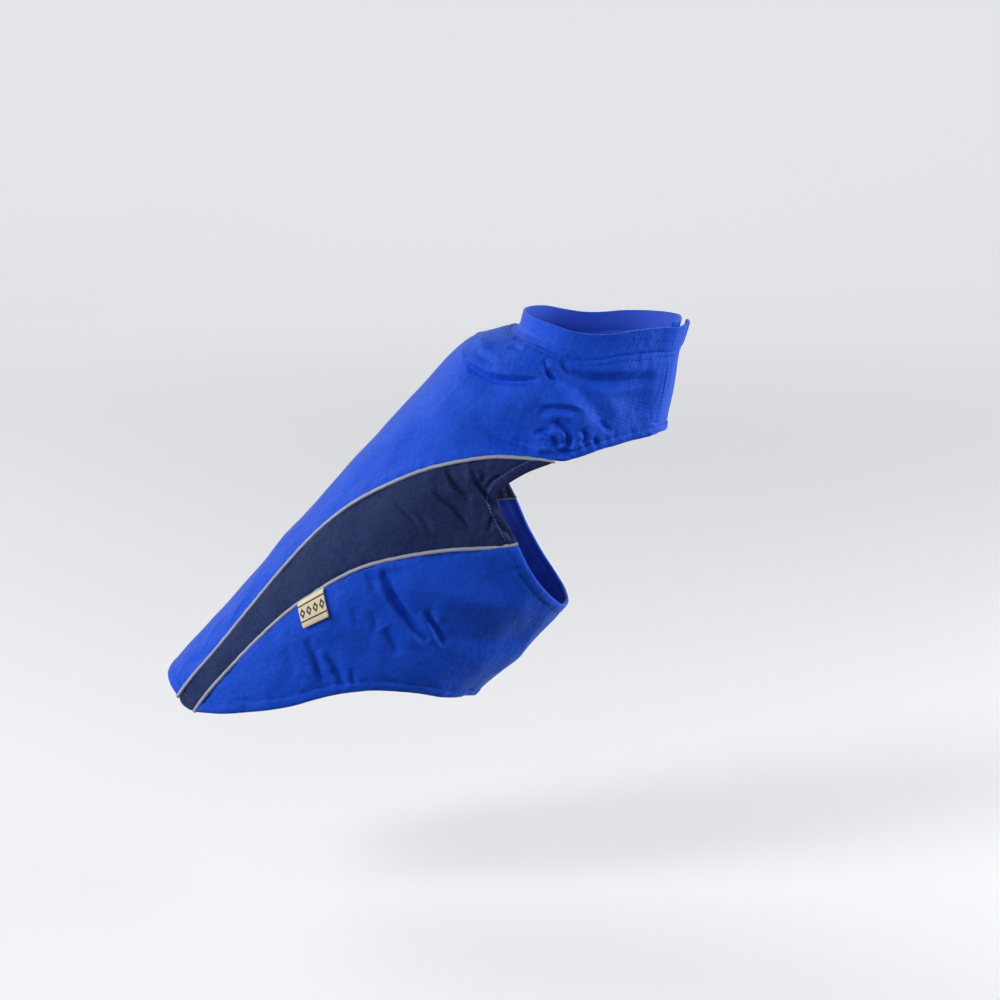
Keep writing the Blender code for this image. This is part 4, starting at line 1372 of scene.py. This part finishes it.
class CoatColours(PropertyGroup):
    """Colours of the coat."""

    royal: colour_property("Royal", "Back, belly and collar cloth", "#0A4AD4")
    navy: colour_property("Navy", "Side inserts", "#1D2654")
    piping: colour_property("Piping", "Reflective piping", "#989DAC")
    # Partly the thread's own darker blue, partly painted shade of the stitches sunk in the cloth.
    thread: colour_property("Thread", "Topstitching thread", "#0F3192")
    # The same blue thread as the topstitching, made paler with a painted glint.
    armhole_thread_and_glint: colour_property("Armhole thread", "Thread of the side inserts", "#5F71A8")
    label: colour_property("Label", "Ground of the woven label", "#EFDFBC")
    motif: colour_property("Label motif", "Motif of the woven label", "#2A211C")


class CoatOperator:
    """What the coat's operators share."""

    bl_options = {"REGISTER", "UNDO"}


class DOGCOAT_OT_back_panel(CoatOperator, Operator):
    """Make the back panel with its shoulder and chest wings"""

    bl_idname = "dog_coat.back_panel"
    bl_label = "Back panel"

    def execute(self, context):
        make_cloth_piece("back_panel", "royal")
        return {"FINISHED"}


class DOGCOAT_OT_neckband(CoatOperator, Operator):
    """Make the stand collar"""

    bl_idname = "dog_coat.neckband"
    bl_label = "Neckband"

    def execute(self, context):
        make_neckband()
        return {"FINISHED"}


class DOGCOAT_OT_side_panels(CoatOperator, Operator):
    """Make the two navy inserts"""

    bl_idname = "dog_coat.side_panels"
    bl_label = "Side panels"

    def execute(self, context):
        for side in ("right", "left"):
            make_cloth_piece("side_panel_" + side, "navy")
        return {"FINISHED"}


class DOGCOAT_OT_belly_panel(CoatOperator, Operator):
    """Make the belly panel"""

    bl_idname = "dog_coat.belly_panel"
    bl_label = "Belly panel"

    def execute(self, context):
        make_cloth_piece("belly_panel", "royal")
        return {"FINISHED"}


class DOGCOAT_OT_piping(CoatOperator, Operator):
    """Make the piping of the four side seams"""

    bl_idname = "dog_coat.piping"
    bl_label = "Piping"

    def execute(self, context):
        for side_name, side in (("right", 1.0), ("left", -1.0)):
            make_piping("piping_upper_" + side_name, UPPER_SEAM, side)
            make_piping("piping_lower_" + side_name, LOWER_SEAM, side)
        return {"FINISHED"}


class DOGCOAT_OT_stitching(CoatOperator, Operator):
    """Make the topstitching of hems, edges and the neck seam"""

    bl_idname = "dog_coat.stitching"
    bl_label = "Topstitching"

    def execute(self, context):
        make_stitching("topstitching_back", ("back_panel",), "royal_thread")
        make_stitching("topstitching_belly", ("belly_panel",), "royal_thread")
        make_stitching("topstitching_sides", ("side_panel_right", "side_panel_left"), "pale_thread")
        return {"FINISHED"}


class DOGCOAT_OT_front_tapes(CoatOperator, Operator):
    """Make the hook tape and the loop tape inside the front lap"""

    bl_idname = "dog_coat.front_tapes"
    bl_label = "Front tapes"

    def execute(self, context):
        stand_off = (CLOTH + TAPE_WALL) / 2.0 + 0.0003
        stations = (0.2545, 0.2735)
        make_tape("front_loop_tape", stand_off, stations, (-1.15, -0.995))
        make_tape("front_hook_tape", -stand_off, stations, (0.815, 1.0))
        return {"FINISHED"}


class DOGCOAT_OT_label(CoatOperator, Operator):
    """Make the folded label in the lower seam"""

    bl_idname = "dog_coat.label"
    bl_label = "Label"

    def execute(self, context):
        make_label()
        return {"FINISHED"}


class DOGCOAT_OT_stage(CoatOperator, Operator):
    """Make the backdrop, the lights and the camera"""

    bl_idname = "dog_coat.stage"
    bl_label = "Stage"

    def execute(self, context):
        make_backdrop()
        make_lights()
        make_camera()
        return {"FINISHED"}


OPERATORS = (
    DOGCOAT_OT_back_panel,
    DOGCOAT_OT_neckband,
    DOGCOAT_OT_side_panels,
    DOGCOAT_OT_belly_panel,
    DOGCOAT_OT_piping,
    DOGCOAT_OT_stitching,
    DOGCOAT_OT_front_tapes,
    DOGCOAT_OT_label,
    DOGCOAT_OT_stage,
)


class DOGCOAT_PT_sidebar(Panel):
    """Lists the coat's pieces, sizes and colours"""

    bl_label = "Dog coat"
    bl_idname = "DOGCOAT_PT_sidebar"
    bl_space_type = "VIEW_3D"
    bl_region_type = "UI"
    bl_category = "Dog coat"

    def draw(self, context):
        for settings in (context.scene.coat_sizes, context.scene.coat_colours):
            for name in settings.__annotations__:
                self.layout.prop(settings, name)
        for operator in OPERATORS:
            self.layout.operator(operator.bl_idname)


CLASSES = (CoatSizes, CoatColours, *OPERATORS, DOGCOAT_PT_sidebar)


def register():
    for cls in CLASSES:
        bpy.utils.register_class(cls)
    bpy.types.Scene.coat_sizes = PointerProperty(type=CoatSizes)
    bpy.types.Scene.coat_colours = PointerProperty(type=CoatColours)


def unregister():
    del bpy.types.Scene.coat_colours
    del bpy.types.Scene.coat_sizes
    for cls in reversed(CLASSES):
        bpy.utils.unregister_class(cls)


def main():
    register()
    for operator in OPERATORS:
        getattr(bpy.ops.dog_coat, operator.bl_idname.split(".")[1])()


if __name__ == "__main__":
    main()
